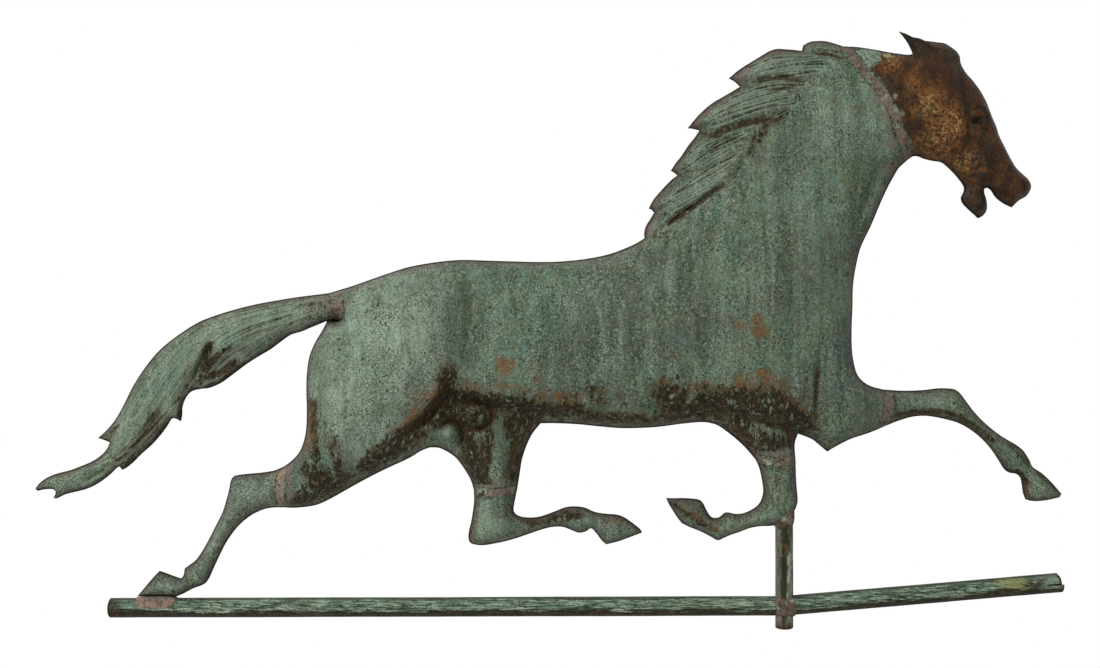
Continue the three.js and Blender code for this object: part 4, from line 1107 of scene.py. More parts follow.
def lump(name, centre, reach, seed, roughness):
    """A poured lump of solder, its surface pulled about as it froze."""
    random = np.random.default_rng(seed)
    waves = random.uniform(*LUMP_WAVE_TURNS, (LUMP_WAVES, 3))
    phases = random.uniform(*ANY_PHASE, LUMP_WAVES)
    made = []
    for ring in range(1, LUMP_RINGS):
        tilt = math.pi * ring / LUMP_RINGS
        row = []
        for side in range(LUMP_SIDES):
            turn = 2 * math.pi * side / LUMP_SIDES
            way = Vector((math.sin(tilt) * math.cos(turn), math.sin(tilt) * math.sin(turn), math.cos(tilt)))
            pulls = (math.sin(Vector(wave).dot(way) + phase) for wave, phase in zip(waves, phases))
            fullness = sum(abs(part) ** LUMP_FULLNESS for part in way) ** (1 / LUMP_FULLNESS)
            grow = (1 + roughness * sum(pulls) / LUMP_WAVES) / fullness
            row.append(Vector(centre) + Vector([way[axis] * reach[axis] * grow for axis in range(3)]))
        made.append(row)
    return swept(name, made)


# Bars and the upright tube, with tilts in degrees

BAR_HEIGHT = 20.2 * MM
BAR_RADIUS = 8.7 * MM
BAR_WALL = 1.5 * MM
REAR_BAR_REACH = 605 * MM
REAR_BAR_DROOP = 0.17
FRONT_BAR_REACH = 250 * MM
FRONT_BAR_RISE = 4.85
TUBE_RADIUS = 7.95 * MM
TUBE_WALL = 1.1 * MM
PIPE_SIDES = 48
PIPE_LIP = 0.5 * MM
BAR_PITCH, TUBE_PITCH = 6 * MM, 4 * MM
MEETING_GAP = 0.3 * MM
MOUTH_SLIT = (30 * MM, 2 * BAR_RADIUS, 1.3 * MM)
MOUTH_LIP = (7 * MM, 4 * BAR_RADIUS, 2 * BAR_RADIUS)
LINER_LENGTH = 44.5 * MM
LINER_SET_BACK = 1.5 * MM
LINER_WALL = 1.2 * MM
CAP_PLUG = 12 * MM
CAP_DOME = 2.5 * MM
CAP_ROUNDING = 0.8
CAP_STEPS = 9
CAP_POINT_RISE, CAP_POINT_RADIUS = 0.02 * MM, 0.2 * MM
REAR_BAR_WEAR, FRONT_BAR_WEAR, TUBE_WEAR, LINER_WEAR, CAP_WEAR = [
    wear * MM for wear in (0.045, 0.05, 0.05, 0.04, 0.03)
]
# Where each mark starts and where it is full, along the bar or up the tube
MOUTH_MARK = (FRONT_BAR_REACH - 6 * MM, FRONT_BAR_REACH - 4 * MM)
REAR_BAR_MARKS = {"bare": (590 * MM, 604 * MM)}
FRONT_BAR_MARKS = {
    "bare": MOUTH_MARK, "stain": (184 * MM, 198 * MM),
    "spent": (210 * MM, 221 * MM), "teal": (228 * MM, 238 * MM),
}
LINER_MARKS = {"bare": (0, 1 * MM), "dark": MOUTH_MARK}
TUBE_MARKS = {"bare": (12 * MM, 6 * MM), "dark": (5 * MM, 2 * MM)}


def pipe_profile(first, last, radius, wall, pitch=BAR_PITCH):
    """The closed profile of a pipe: out along its skin with eased ends, and back along its bore."""
    skin = [(reach, radius) for reach in steps_between(first + PIPE_LIP, last - PIPE_LIP, pitch)]
    end = [(last, radius - PIPE_LIP), (last, radius - wall)]
    start = [(first, radius - wall), (first, radius - PIPE_LIP)]
    return skin + end + start


def cap_profile(radius):
    """The profile of the rear cap: a plug in the bar's bore and a low dome over its end."""
    plug_end = REAR_BAR_REACH - CAP_PLUG
    face = REAR_BAR_REACH + MEETING_GAP
    dome = [
        (face + CAP_DOME * math.sin(turn), BAR_RADIUS * math.cos(turn) ** CAP_ROUNDING)
        for turn in np.linspace(0, math.pi / 2, CAP_STEPS)[:-1]
    ]
    point = (face + CAP_DOME + CAP_POINT_RISE, CAP_POINT_RADIUS)
    return [(plug_end, CAP_POINT_RADIUS), (plug_end, radius), (face, radius), *dome, point]


def mouth_cut(piece, along):
    """Cuts the front bar's slit, and trims its upper lip back."""
    slit = cutter_box((FRONT_BAR_REACH, -BAR_RADIUS, 0), MOUTH_SLIT)
    lip = cutter_box((FRONT_BAR_REACH, 0, BAR_RADIUS), MOUTH_LIP)
    for cutter in (slit, lip):
        cutter.data.transform(along)
        cut = piece.modifiers.new("cut", "BOOLEAN")
        cut.operation = "DIFFERENCE"
        cut.solver = "EXACT"
        cut.object = cutter
        settle(piece)
        bpy.data.objects.remove(cutter)
    shaded(piece.data, PIPE_SHARP)


def cutter_box(middle, size):
    """A box to cut with, placed by its middle."""
    work = bmesh.new()
    bmesh.ops.create_cube(work, size=1)
    for vertex in work.verts:
        vertex.co = Vector([middle[axis] + vertex.co[axis] * size[axis] for axis in range(3)])
    return from_bmesh("cutter", work)


def settle(piece):
    """Replaces a piece's mesh by what its modifiers make of it."""
    bpy.context.view_layer.update()
    evaluated = piece.evaluated_get(bpy.context.evaluated_depsgraph_get())
    mesh = bpy.data.meshes.new_from_object(evaluated)
    piece.modifiers.clear()
    piece.data = mesh


# Ears


EAR_DEPTH = 6 * MM
EAR_TIP_DEPTH = 0.2 * MM
EAR_TAPER = 0.7
EAR_ASIDE = 10.5 * MM
EAR_BASE_PX = np.array((929, 57.5))
EAR_FAR_SHARE = 0.87
EAR_UPPER_PX = [(938, 47), (927, 41.8), (919.6, 38.4), (913, 37.2), (906.3, 34), (899, 31.4)]
EAR_LOWER_PX = [(920, 68), (914.6, 60), (912, 52), (908, 43.6), (903.4, 37), (898.9, 31.9)]
EAR_STEP_PX = 1.6
EAR_RINGS, EAR_SIDES = 22, 24
EAR_SHARP = 60
EAR_HOLLOW_SHARE = 0.55
EAR_HOLLOW_WIDTH = 0.6
EAR_SHADES = (0.4, 0.1)  # how dark its outer and its inner side are


def ear(name, aside):
    """A pointed ear from its base to its tip, hollowed in front. The far one hides behind the near one."""
    reach = EAR_FAR_SHARE if aside > 0 else 1
    steps = np.linspace(0, 1, EAR_RINGS)
    edges = [resampled(curve, EAR_STEP_PX, steps) for curve in (EAR_UPPER_PX, EAR_LOWER_PX)]
    rings = []
    for step, top, bottom in zip(steps, *edges):
        middle, half = (top + bottom) / 2, (top - bottom) / 2
        depth = EAR_DEPTH * (1 - step) ** EAR_TAPER + EAR_TIP_DEPTH
        ring = []
        for side in range(EAR_SIDES):
            turn = 2 * math.pi * side / EAR_SIDES
            hollow = math.sin(turn) * aside > 0 and abs(math.cos(turn)) < EAR_HOLLOW_WIDTH
            pinch = EAR_HOLLOW_SHARE if hollow else 1
            place = EAR_BASE_PX + (middle + half * math.cos(turn) - EAR_BASE_PX) * reach
            flat = VIEW_MIDDLE_PX + (place - VIEW_MIDDLE_PX) * (1 + aside / VIEW_DISTANCE)
            x, z = to_frame([flat])
            ring.append(Vector((x[0], aside + depth * pinch * math.sin(turn), z[0])))
        rings.append(ring)
    outer, inner = EAR_SHADES
    masks = {key: np.zeros(EAR_RINGS * EAR_SIDES) for key in FINISH_MASKS}
    masks["crease"] = np.array([outer if abs(p.y) > abs(aside) else inner for ring in rings for p in ring])
    return swept(name, rings, masks=masks, sharp=EAR_SHARP)


# Solder seams: a path across each limb in pixels, from the first to the last point of the limb's outline

TAIL_SEAM_PX = [(338, 290.4), (340.5, 305), (338, 320)]
TRAILING_HIND_SEAM_PX = [(284.5, 466.2), (283.5, 487), (284.5, 507.3)]
BENT_HIND_SEAM_PX = [(473.8, 489.5), (495, 490.5), (517.3, 489)]
FOLDED_FORE_SEAM_PX = [(755.2, 459), (775, 460), (795.4, 459)]
REACHING_FORE_SEAM_PX = [(878.2, 429), (884, 410), (887.6, 389.8)]

LIMBS = {
    "tail_shell": (TAIL_TOP_PX, TAIL_SEAM_PX, "tail_solder", 8),
    "trailing_hind_leg": (TRAILING_HIND_PX, TRAILING_HIND_SEAM_PX, "trailing_hind_solder", 6),
    "bent_hind_leg": (BENT_HIND_PX, BENT_HIND_SEAM_PX, "bent_hind_solder", 5.5),
    "reaching_foreleg": (REACHING_FORE_PX, REACHING_FORE_SEAM_PX, "reaching_foreleg_solder", 6.5),
    "folded_foreleg": (FOLDED_FORE_PX, FOLDED_FORE_SEAM_PX, "folded_foreleg_solder", 6),
}
BODY_RUNS_PX = [
    MANE_PX, BACK_PX, TAIL_SEAM_PX, RUMP_PX, TRAILING_HIND_SEAM_PX, GASKIN_PX, BENT_HIND_SEAM_PX, BELLY_PX,
    FOLDED_FORE_SEAM_PX, ELBOW_PX, REACHING_FORE_SEAM_PX, CHEST_PX, NECK_SEAM_PX,
]
HEAD_SEAM_HALF_WIDTH_PX = 6.2
BRIGHT_SEAMS = ("trailing_hind_solder",)
SOLDER_PROUD = 0.3
SOLDER_ROWS_PX = (1.1,)
SEAM_STEP_PX = 2.2
WANDERS = ((0.2, 5, 9), (0.13, 18, 30))  # share of the half width, fewest and most radians of wave


def band_loop(seam_px, half_width, seed):
    """The outline of a solder band laid across a seam, wandering a little at both edges."""
    random = np.random.default_rng(seed)
    curve = spline(seam_px, SEAM_STEP_PX)
    along = np.gradient(curve, axis=0)
    normal = np.stack([-along[:, 1], along[:, 0]], axis=1)
    normal /= np.linalg.norm(normal, axis=1, keepdims=True)
    ends = []
    reach = round(half_width / 2)
    for tip in (curve[0], curve[-1]):
        middle = int(np.argmin(((OUTLINE - tip) ** 2).sum(1)))
        ends.append([OUTLINE[(middle + step) % len(OUTLINE)] for step in range(-reach, reach + 1)])
    side = 1 if (np.array(ends[0][-1]) - curve[0]) @ normal[0] > 0 else -1
    steps = np.linspace(0, 1, len(curve))
    loops = []
    for sign in (1, -1):
        wander = np.ones(len(steps))
        for share, fewest, most in WANDERS:
            wander += share * np.sin(steps * random.uniform(fewest, most) + random.uniform(*ANY_PHASE))
        shift = sign * side * half_width * wander
        loops.append((curve + normal * shift[:, None])[2:-2])
    return np.vstack([ends[0], loops[0], ends[1], loops[1][::-1]])


# Materials


def linear(red, green, blue):
    """A colour written as it is seen, from 0 to 255, as light."""
    def light(value):
        value /= 255
        return value / 12.92 if value <= 0.04045 else ((value + 0.055) / 1.055) ** 2.4
    return (light(red), light(green), light(blue), 1)


class Graph:
    """Short ways to add and join shader nodes."""

    def __init__(self, tree):
        self.tree = tree
        self.colour = None

    def node(self, kind, settings=None, **inputs):
        """A node with its settings, and its inputs fed by name."""
        made = self.tree.nodes.new(kind)
        for key, value in (settings or {}).items():
            setattr(made, key, value)
        for key, value in inputs.items():
            self.feed(made.inputs[key.replace("_", " ")], value)
        return made

    def feed(self, socket, value):
        if isinstance(value, bpy.types.NodeSocket):
            self.tree.links.new(value, socket)
        else:
            socket.default_value = value

    def math(self, operation, first, second, clamp=False):
        made = self.tree.nodes.new("ShaderNodeMath")
        made.operation, made.use_clamp = operation, clamp
        self.feed(made.inputs[0], first)
        self.feed(made.inputs[1], second)
        return made.outputs[0]

    def times(self, first, second, clamp=False):
        return self.math("MULTIPLY", first, second, clamp)

    def plus(self, first, second):
        return self.math("ADD", first, second)

    def minus(self, first, second):
        return self.math("SUBTRACT", first, second)

    def ramp(self, value, low, high, to_low=0.0, to_high=1.0):
        """Turns a value from low to high softly into one from to_low to to_high."""
        made = self.node("ShaderNodeMapRange", {"interpolation_type": "SMOOTHSTEP"}, Value=value)
        for index, number in zip((1, 2, 3, 4), (low, high, to_low, to_high)):
            self.feed(made.inputs[index], number)
        return made.outputs[0]

    def mix(self, share, first, second):
        """The first colour, with a share of the second laid over it."""
        made = self.tree.nodes.new("ShaderNodeMix")
        made.data_type = "RGBA"
        self.feed(made.inputs[0], share)
        self.feed(made.inputs[6], first)
        self.feed(made.inputs[7], second)
        return made.outputs[2]

    def blend(self, value, low, high, first, second):
        """From the first colour to the second while a value rises from low to high."""
        return self.mix(self.ramp(value, low, high), first, second)

    def coat(self, share, colour):
        """Lays a share of another colour over what has been laid so far."""
        self.colour = self.mix(share, self.colour, colour)

    def noise(self, scale, detail=3.0, roughness=0.55, distortion=0.0, squeeze=None):
        """Noise over the object, drawn out along each axis whose squeeze is below 1."""
        place = self.place()
        if squeeze:
            mapping = self.node("ShaderNodeMapping", Vector=place)
            mapping.inputs["Scale"].default_value = squeeze
            place = mapping.outputs[0]
        made = self.node("ShaderNodeTexNoise", Vector=place, Scale=scale, Detail=detail,
                         Roughness=roughness, Distortion=distortion)
        return made.outputs["Fac"]

    def around(self, *noise):
        """Noise about zero."""
        return self.minus(self.noise(*noise), 0.5)

    def mask(self, name, strength=1):
        """A mask stored at the vertices."""
        value = self.node("ShaderNodeAttribute", {"attribute_name": name}).outputs["Fac"]
        return value if strength == 1 else self.times(value, strength)

    def place(self):
        return self.node("ShaderNodeTexCoord").outputs["Object"]


def group_of(name, inputs, outputs):
    """A shader group whose sockets are numbers, and its graph."""
    tree = bpy.data.node_groups.new(name, "ShaderNodeTree")
    for key, default in inputs.items():
        socket = tree.interface.new_socket(key, in_out="INPUT", socket_type="NodeSocketFloat")
        socket.default_value = default
    for key in outputs:
        tree.interface.new_socket(key, in_out="OUTPUT", socket_type="NodeSocketFloat")
    given, out = tree.nodes.new("NodeGroupInput"), tree.nodes.new("NodeGroupOutput")
    return tree, Graph(tree), given.outputs, out.inputs


def weathering_group():
    """Mottling, pits and rain streaks that every old metal here shares."""
    name = "weathering"
    if name in bpy.data.node_groups:
        return bpy.data.node_groups[name]
    tree, graph, given, out = group_of(
        name,
        {"Patch Scale": 26, "Grain Scale": 420},
        ("Patches", "Grain", "Pits", "Cracks", "Streaks", "Height"),
    )
    patches = graph.noise(given["Patch Scale"], 5, 0.6)
    grain = graph.noise(given["Grain Scale"], 4, 0.72, 0.4)
    cells = graph.noise(graph.times(given["Grain Scale"], 1.7), 2, 0.6, 1.2)
    pits = graph.ramp(cells, 0.61, 0.7)
    plates = graph.node("ShaderNodeTexVoronoi", {"feature": "DISTANCE_TO_EDGE"}, Vector=graph.place(),
                        Scale=graph.times(given["Grain Scale"], 0.9))
    cracks = graph.ramp(plates.outputs["Distance"], 0.12, 0.02)
    cracks = graph.times(cracks, graph.ramp(patches, 0.42, 0.58, 0.15, 1))
    runs = graph.noise(75, 5, 0.68, 0.5, squeeze=(1, 1, 0.09))
    streaks = graph.plus(graph.times(runs, 0.6), graph.times(patches, 0.4))
    sunk = graph.plus(graph.times(pits, 0.5), graph.times(cracks, 0.35))
    height = graph.minus(graph.times(grain, 0.6), sunk)
    for key, value in (("Patches", patches), ("Grain", grain), ("Pits", pits), ("Cracks", cracks),
                       ("Streaks", streaks), ("Height", height)):
        tree.links.new(value, out[key])
    return tree


def crust_group():
    """Breaks up the edge of a mask, as a deposit that has flaked away."""
    name = "crust"
    if name in bpy.data.node_groups:
        return bpy.data.node_groups[name]
    tree, graph, given, out = group_of(name, {"Mask": 0, "Scale": 90, "Spread": 0.5}, ("Mask",))
    broad = graph.minus(graph.noise(given["Scale"], 6, 0.68, 0.6, squeeze=(1, 1, 0.6)), 0.5)
    level = graph.plus(given["Mask"], graph.times(broad, graph.times(given["Spread"], 3)))
    tree.links.new(graph.ramp(level, 0.42, 0.58), out["Mask"])
    return tree


def weathered(graph, patch_scale, grain_scale):
    """The outputs of the shared weathering, at this material's scales."""
    return graph.node("ShaderNodeGroup", {"node_tree": weathering_group()}, Patch_Scale=patch_scale,
                      Grain_Scale=grain_scale).outputs


def crusted(graph, mask, scale, spread):
    """A stored mask with its edge broken up."""
    return graph.node("ShaderNodeGroup", {"node_tree": crust_group()}, Mask=graph.mask(mask),
                      Scale=scale, Spread=spread).outputs["Mask"]


def material_graph(name):
    material = bpy.data.materials.new(name)
    material.use_nodes = True
    material.node_tree.nodes.clear()
    return material, Graph(material.node_tree)


SPECULAR = 0.14
PATINA_RELIEF, CAST_RELIEF, PIPE_RELIEF, FINE_RELIEF = 1.6 * MM, 1.4 * MM, 1.2 * MM, 0.6 * MM


def grain_gloss(graph, worn, high, low):
    """A roughness that falls from high to low over the grain."""
    return graph.ramp(worn["Grain"], 0.3, 0.7, high, low)


def surfaced(graph, roughness, height, bump, depth=FINE_RELIEF, metallic=0):
    """Ends a material with its coats of colour, its roughness and its relief."""
    relief = graph.node("ShaderNodeBump", Height=height, Strength=bump, Distance=depth)
    shader = graph.node("ShaderNodeBsdfPrincipled", Base_Color=graph.colour, Roughness=roughness,
                        Metallic=metallic, Normal=relief.outputs[0], Specular_IOR_Level=SPECULAR)
    graph.node("ShaderNodeOutputMaterial", Surface=shader.outputs[0])


def verdigris_material(colours):
    material, graph = material_graph("verdigris_copper")
    worn = weathered(graph, 26, 430)
    mottle = graph.noise(95, 5, 0.65, 0.6)
    graph.colour = graph.blend(mottle, 0.42, 0.58, colours.green_grey, colours.blue_green)
    drifts = graph.noise(11, 4, 0.6, 0.5)
    slate = graph.times(graph.ramp(drifts, 0.44, 0.6, 0, 0.75), graph.ramp(mottle, 0.3, 0.6, 0.5, 1))
    graph.coat(slate, colours.slate)
    moss = graph.ramp(graph.noise(19, 5, 0.62, 0.7), 0.48, 0.62, 0, 0.3)
    graph.coat(moss, graph.mix(0.3, colours.green_grey, colours.yellow_green))
    # Pale patina, with painted highlights where the pale spots lie on the haunch, the thigh and a boss
    pale = graph.plus(graph.mask("pale"), graph.ramp(mottle, 0.35, 0.65, -0.25, 0.15))
    graph.coat(graph.times(pale, 0.75, True), colours.pale_green)
    # Painted shade in the broad hollows
    graph.coat(graph.mask("valley", 0.5), colours.deep_olive)
    graph.coat(graph.ramp(worn["Streaks"], 0.5, 0.58, 0, 0.35), colours.pale_green)
    graph.coat(graph.ramp(worn["Streaks"], 0.49, 0.41, 0, 0.4), colours.deep_olive)
    coarse = graph.ramp(graph.noise(30, 4, 0.6), 0.38, 0.62, 0.45, 1)
    graph.coat(graph.times(graph.ramp(worn["Grain"], 0.52, 0.62, 0, 0.5), coarse), colours.pale_green)
    graph.coat(graph.times(graph.ramp(worn["Grain"], 0.48, 0.36, 0, 0.8), coarse), colours.deep_olive)
    graph.coat(graph.times(worn["Cracks"], 0.5), colours.deep_olive)
    graph.coat(graph.times(worn["Pits"], 0.85), colours.soot)
    bare = crusted(graph, "bare", 150, 0.3)
    graph.coat(graph.times(bare, 0.75), colours.mauve)
    lay_rust_deposits_and_shade(graph, colours)
    groove = graph.mask("groove")
    # Painted highlights on the strands beside each groove of the hair
    ridge_highlights = graph.times(graph.ramp(groove, 0.02, 0.14), graph.ramp(groove, 0.5, 0.24, 0, 0.36))
    graph.coat(ridge_highlights, colours.pale_green)
    broken = graph.noise(210, 4, 0.7, 0.5)
    lines = graph.times(graph.ramp(groove, 0.3, 0.75), graph.ramp(broken, 0.43, 0.53, 1, 0.1))
    graph.coat(lines, graph.mix(0.4, colours.soot, colours.umber))
    crease = graph.mask("crease")
    ragged = graph.times(graph.around(240, 5, 0.75, 0.3), 5)
    hollow = graph.plus(crease, graph.times(ragged, crease))
    dirt = graph.blend(worn["Grain"], 0.4, 0.56, colours.soot, colours.umber)
    dirt = graph.blend(crease, 0.85, 0.3, dirt, colours.olive_brown)
    graph.coat(graph.ramp(hollow, 0.2, 0.9, 0, 0.86), dirt)
    verge = graph.math("POWER", graph.mask("rim"), 0.22)
    verge = graph.times(verge, graph.ramp(mottle, 0.44, 0.58, 0, 0.85))
    graph.coat(verge, graph.blend(worn["Grain"], 0.44, 0.56, colours.umber, colours.mauve))
    rim = graph.times(graph.mask("rim"), graph.ramp(worn["Patches"], 0.3, 0.6, 0.85, 1))
    graph.coat(rim, colours.edge_brown)
    surfaced(graph, grain_gloss(graph, worn, 0.8, 0.62), worn["Height"], 1, PATINA_RELIEF)
    return material


def lay_rust_deposits_and_shade(graph, colours):
    """Lays on rust stains and flaking dark deposits; the dark deposits also hold painted shade under the
    belly and between the legs.
    """
    broad = graph.around(70, 6, 0.7)
    fine = graph.noise(260, 6, 0.75, 0.3)
    # A soft brown halo round the dark deposits: partly painted shade under the belly and between the legs
    deposit_and_shade_halo = graph.ramp(graph.plus(graph.mask("deposit"), graph.times(broad, 1.6)), 0.08, 0.7)
    brown = graph.blend(fine, 0.44, 0.58, colours.umber, colours.olive_brown)
    graph.coat(graph.times(deposit_and_shade_halo, 0.8), brown)
    rust = graph.ramp(graph.plus(graph.mask("rust"), graph.times(broad, 2.2)), 0.1, 0.9)
    rust = graph.times(rust, graph.ramp(fine, 0.36, 0.6, 0.35, 0.85))
    graph.coat(rust, colours.rust)
    # Flaking dark crust, which also stands as painted shade under the belly and between the legs
    deposit = crusted(graph, "deposit", 200, 1.15)
    crust = graph.blend(fine, 0.49, 0.64, colours.soot, colours.olive_brown)
    crust = graph.mix(graph.ramp(broad, 0.02, 0.12, 0, 0.3), crust, colours.umber)
    flecks = graph.noise(240, 6, 0.72, 0.5, squeeze=(1, 1, 0.45))
    flecks = graph.ramp(flecks, 0.57, 0.6, 0, 0.85)
    crust = graph.mix(flecks, crust, graph.mix(0.3, colours.green_grey, colours.pale_green))
    graph.coat(graph.times(deposit, 0.9), crust)


def dull_solder_material(colours):
    return solder_of(colours, "dull_solder", 0.45, 0.5, 0.5)


def bright_solder_material(colours):
    return solder_of(colours, "bright_solder", 0, 0.15, 1)


def solder_material(colours):
    return solder_of(colours, "solder", 0.12, 0.35, 0.3)


def solder_of(colours, name, dark_share, green_share, pink_share):
    """Solder, with the shares of it that are stained dark, have turned green or are still pink."""
    material, graph = material_graph(name)
    worn = weathered(graph, 60, 380)
    mottle = graph.noise(130, 5, 0.7, 0.6)
    graph.colour = colours.mauve
    graph.coat(graph.ramp(worn["Patches"], 0.4, 0.6, 0, pink_share), colours.pink_grey)
    graph.coat(dark_share, colours.umber)
    graph.coat(graph.ramp(mottle, 0.5, 0.4, 0, 0.6), colours.umber)
    start = 0.64 - 0.3 * green_share
    green = graph.ramp(graph.noise(90, 5, 0.65), start, 0.7 - 0.3 * green_share, 0, 0.7)
    graph.coat(green, graph.blend(mottle, 0.42, 0.6, colours.deep_olive, colours.pale_green))
    graph.coat(graph.ramp(worn["Grain"], 0.48, 0.36, 0, 0.7), colours.deep_olive)
    graph.coat(graph.times(worn["Pits"], 0.7), colours.soot)
    verge = crusted(graph, "verge", 140, 0.7)
    old = graph.blend(worn["Grain"], 0.44, 0.58, colours.deep_olive, colours.green_grey)
    graph.coat(graph.times(verge, 0.9), old)
    graph.coat(graph.mask("rim", 0.9), colours.edge_brown)
    surfaced(graph, grain_gloss(graph, worn, 0.75, 0.6), worn["Height"], 0.9, CAST_RELIEF)
    return material


def cast_head_material(colours):
    material, graph = material_graph("cast_head")
    worn = weathered(graph, 42, 360)
    graph.colour = graph.blend(worn["Patches"], 0.4, 0.62, colours.dark_brown, colours.brown)
    olive = graph.ramp(graph.noise(48, 5, 0.65, 0.5), 0.48, 0.62, 0, 0.4)
    graph.coat(olive, colours.olive_brown)
    broad = graph.around(75, 6, 0.68, 0.4)
    fine = graph.noise(380, 6, 0.78, 0.4)
    ochre = graph.ramp(graph.plus(graph.mask("rust"), graph.times(broad, 2.2)), 0.1, 0.9)
    ochre = graph.times(ochre, graph.ramp(fine, 0.4, 0.56, 0.35, 1))
    graph.coat(ochre, colours.ochre)
    sandy = graph.plus(graph.mask("sandy"), broad)
    specks = graph.times(graph.ramp(fine, 0.48, 0.62), graph.ramp(sandy, 0.05, 0.7, 0, 0.8))
    graph.coat(specks, colours.sand)
    graph.coat(graph.ramp(worn["Grain"], 0.49, 0.38, 0, 0.85), colours.soot)
    graph.coat(graph.times(worn["Pits"], 0.8), colours.soot)
    green = crusted(graph, "pale", 120, 0.4)
    copper = graph.blend(fine, 0.4, 0.6, colours.blue_green, colours.pale_green)
    copper = graph.blend(graph.mask("sandy"), 0.04, 0.3, copper, colours.yellow_green)
    graph.coat(graph.times(green, 0.85), copper)
    shade = graph.mix(0.5, colours.soot, colours.dark_brown)
    graph.coat(graph.times(graph.mask("valley"), 0.9, True), shade)
    graph.coat(graph.mask("crease", 0.85), colours.soot)
    graph.coat(graph.mask("rim", 0.85), colours.soot)
    surfaced(graph, grain_gloss(graph, worn, 0.66, 0.48), worn["Height"], 0.9, CAST_RELIEF)
    return material


def bar_material(colours):
    material, graph = material_graph("weathered_bar")
    worn = weathered(graph, 30, 430)
    fibres = graph.noise(760, 5, 0.75, squeeze=(0.08, 1, 1))
    broad = graph.noise(200, 6, 0.72, 0.6, squeeze=(0.13, 1, 1))
    flakes = graph.noise(460, 6, 0.78, 0.5, squeeze=(0.32, 1, 1))
    graph.colour = graph.blend(broad, 0.42, 0.58, colours.green_grey, colours.blue_green)
    graph.coat(graph.ramp(fibres, 0.5, 0.57, 0, 0.9), colours.pale_green)
    graph.coat(graph.ramp(fibres, 0.49, 0.4, 0, 0.85), colours.deep_olive)
    graph.coat(graph.ramp(flakes, 0.47, 0.41, 0, 0.85), colours.soot)
    stain = graph.times(graph.mask("stain"), graph.ramp(graph.mask("spent"), 0, 1, 1, 0))
    stain = graph.times(stain, graph.ramp(flakes, 0.38, 0.54))
    graph.coat(graph.times(stain, 0.8), colours.yellow_green)
    old = graph.times(graph.mask("spent"), graph.ramp(flakes, 0.54, 0.44, 0, 0.85))
    graph.coat(old, colours.umber)
    teal = graph.times(graph.mask("teal"), graph.ramp(flakes, 0.38, 0.48, 0.1, 0.95))
    graph.coat(teal, graph.mix(0.55, colours.blue_green, colours.pale_green))
    # Darker along the lower side of the round, the edge of that band wandering, with a deep olive line
    # along the top
    loose = graph.times(graph.minus(broad, 0.5), 1.1)
    band = graph.plus(graph.mask("low"), loose)
    dark = graph.blend(flakes, 0.48, 0.6, colours.soot, colours.umber)
    graph.coat(graph.ramp(band, 0.56, 0.64, 0, 0.92), dark)
    graph.coat(graph.ramp(graph.plus(graph.mask("low"), graph.times(loose, 0.3)), 0.12, 0.03, 0, 0.8),
               colours.deep_olive)
    bare = graph.times(graph.mask("bare"), graph.ramp(flakes, 0.36, 0.54, 0.5, 1))
    rusty = graph.blend(flakes, 0.54, 0.66, graph.mix(0.6, colours.umber, colours.soot), colours.mauve)
    graph.coat(graph.times(bare, 0.9), rusty)
    graph.coat(graph.times(worn["Pits"], 0.7), colours.soot)
    height = graph.plus(worn["Height"], graph.times(fibres, 0.6))
    surfaced(graph, grain_gloss(graph, worn, 0.75, 0.55), height, 0.9, PIPE_RELIEF)
    return material


def tube_material(colours):
    material, graph = material_graph("tube_copper")
    worn = weathered(graph, 60, 430)
    drips = graph.noise(300, 6, 0.72, 0.5, squeeze=(1, 1, 0.14))
    across = graph.plus(graph.mask("right"), graph.times(graph.around(110, 5, 0.65), 0.5))
    graph.colour = graph.blend(drips, 0.42, 0.58, colours.olive_brown, colours.green_grey)
    graph.coat(graph.ramp(worn["Patches"], 0.5, 0.62, 0, 0.7), colours.umber)
    graph.coat(graph.ramp(drips, 0.5, 0.4, 0, 0.8), colours.deep_olive)
    # Painted light and shade in bands across the round, by how far to the right each place lies as seen
    # from the front: a dark band of painted shade, a pale band of painted highlight to its right, a mauve
    # band at the left edge and a dark brown one at the right edge
    shade_stripe = graph.times(graph.ramp(across, 0.2, 0.32), graph.ramp(across, 0.64, 0.54))
    graph.coat(graph.times(shade_stripe, 0.8), graph.mix(0.4, colours.soot, colours.deep_olive))
    # The painted highlight, right of the painted shade
    pale = graph.times(graph.ramp(across, 0.58, 0.66), graph.ramp(across, 0.92, 0.84))
    pale = graph.times(pale, graph.ramp(drips, 0.46, 0.56, 0.1, 0.75))
    graph.coat(pale, colours.pale_green)
    # The painted bands at the left and the right edge
    graph.coat(graph.ramp(across, 0.2, 0.1, 0, 0.7), colours.mauve)
    graph.coat(graph.ramp(across, 0.9, 0.96, 0, 0.8), colours.edge_brown)
    rust = graph.ramp(graph.noise(70, 4, 0.6), 0.58, 0.68, 0, 0.6)
    graph.coat(rust, colours.rust)
    bare = graph.blend(drips, 0.42, 0.56, colours.umber, colours.mauve)
    graph.coat(graph.mask("bare", 0.75), bare)
    graph.coat(graph.mask("dark", 0.85), colours.soot)
    graph.coat(graph.times(worn["Pits"], 0.7), colours.soot)
    height = graph.plus(worn["Height"], graph.times(drips, 0.5))
    surfaced(graph, grain_gloss(graph, worn, 0.72, 0.5), height, 0.9, PIPE_RELIEF)
    return material


def iron_material(colours):
    material, graph = material_graph("spindle_iron")
    worn = weathered(graph, 90, 500)
    graph.colour = graph.blend(worn["Patches"], 0.4, 0.6, colours.iron, colours.umber)
    graph.coat(graph.ramp(worn["Grain"], 0.55, 0.7, 0, 0.6), colours.rust)
    surfaced(graph, grain_gloss(graph, worn, 0.65, 0.45), worn["Height"], 0.4, metallic=0.5)
    return material


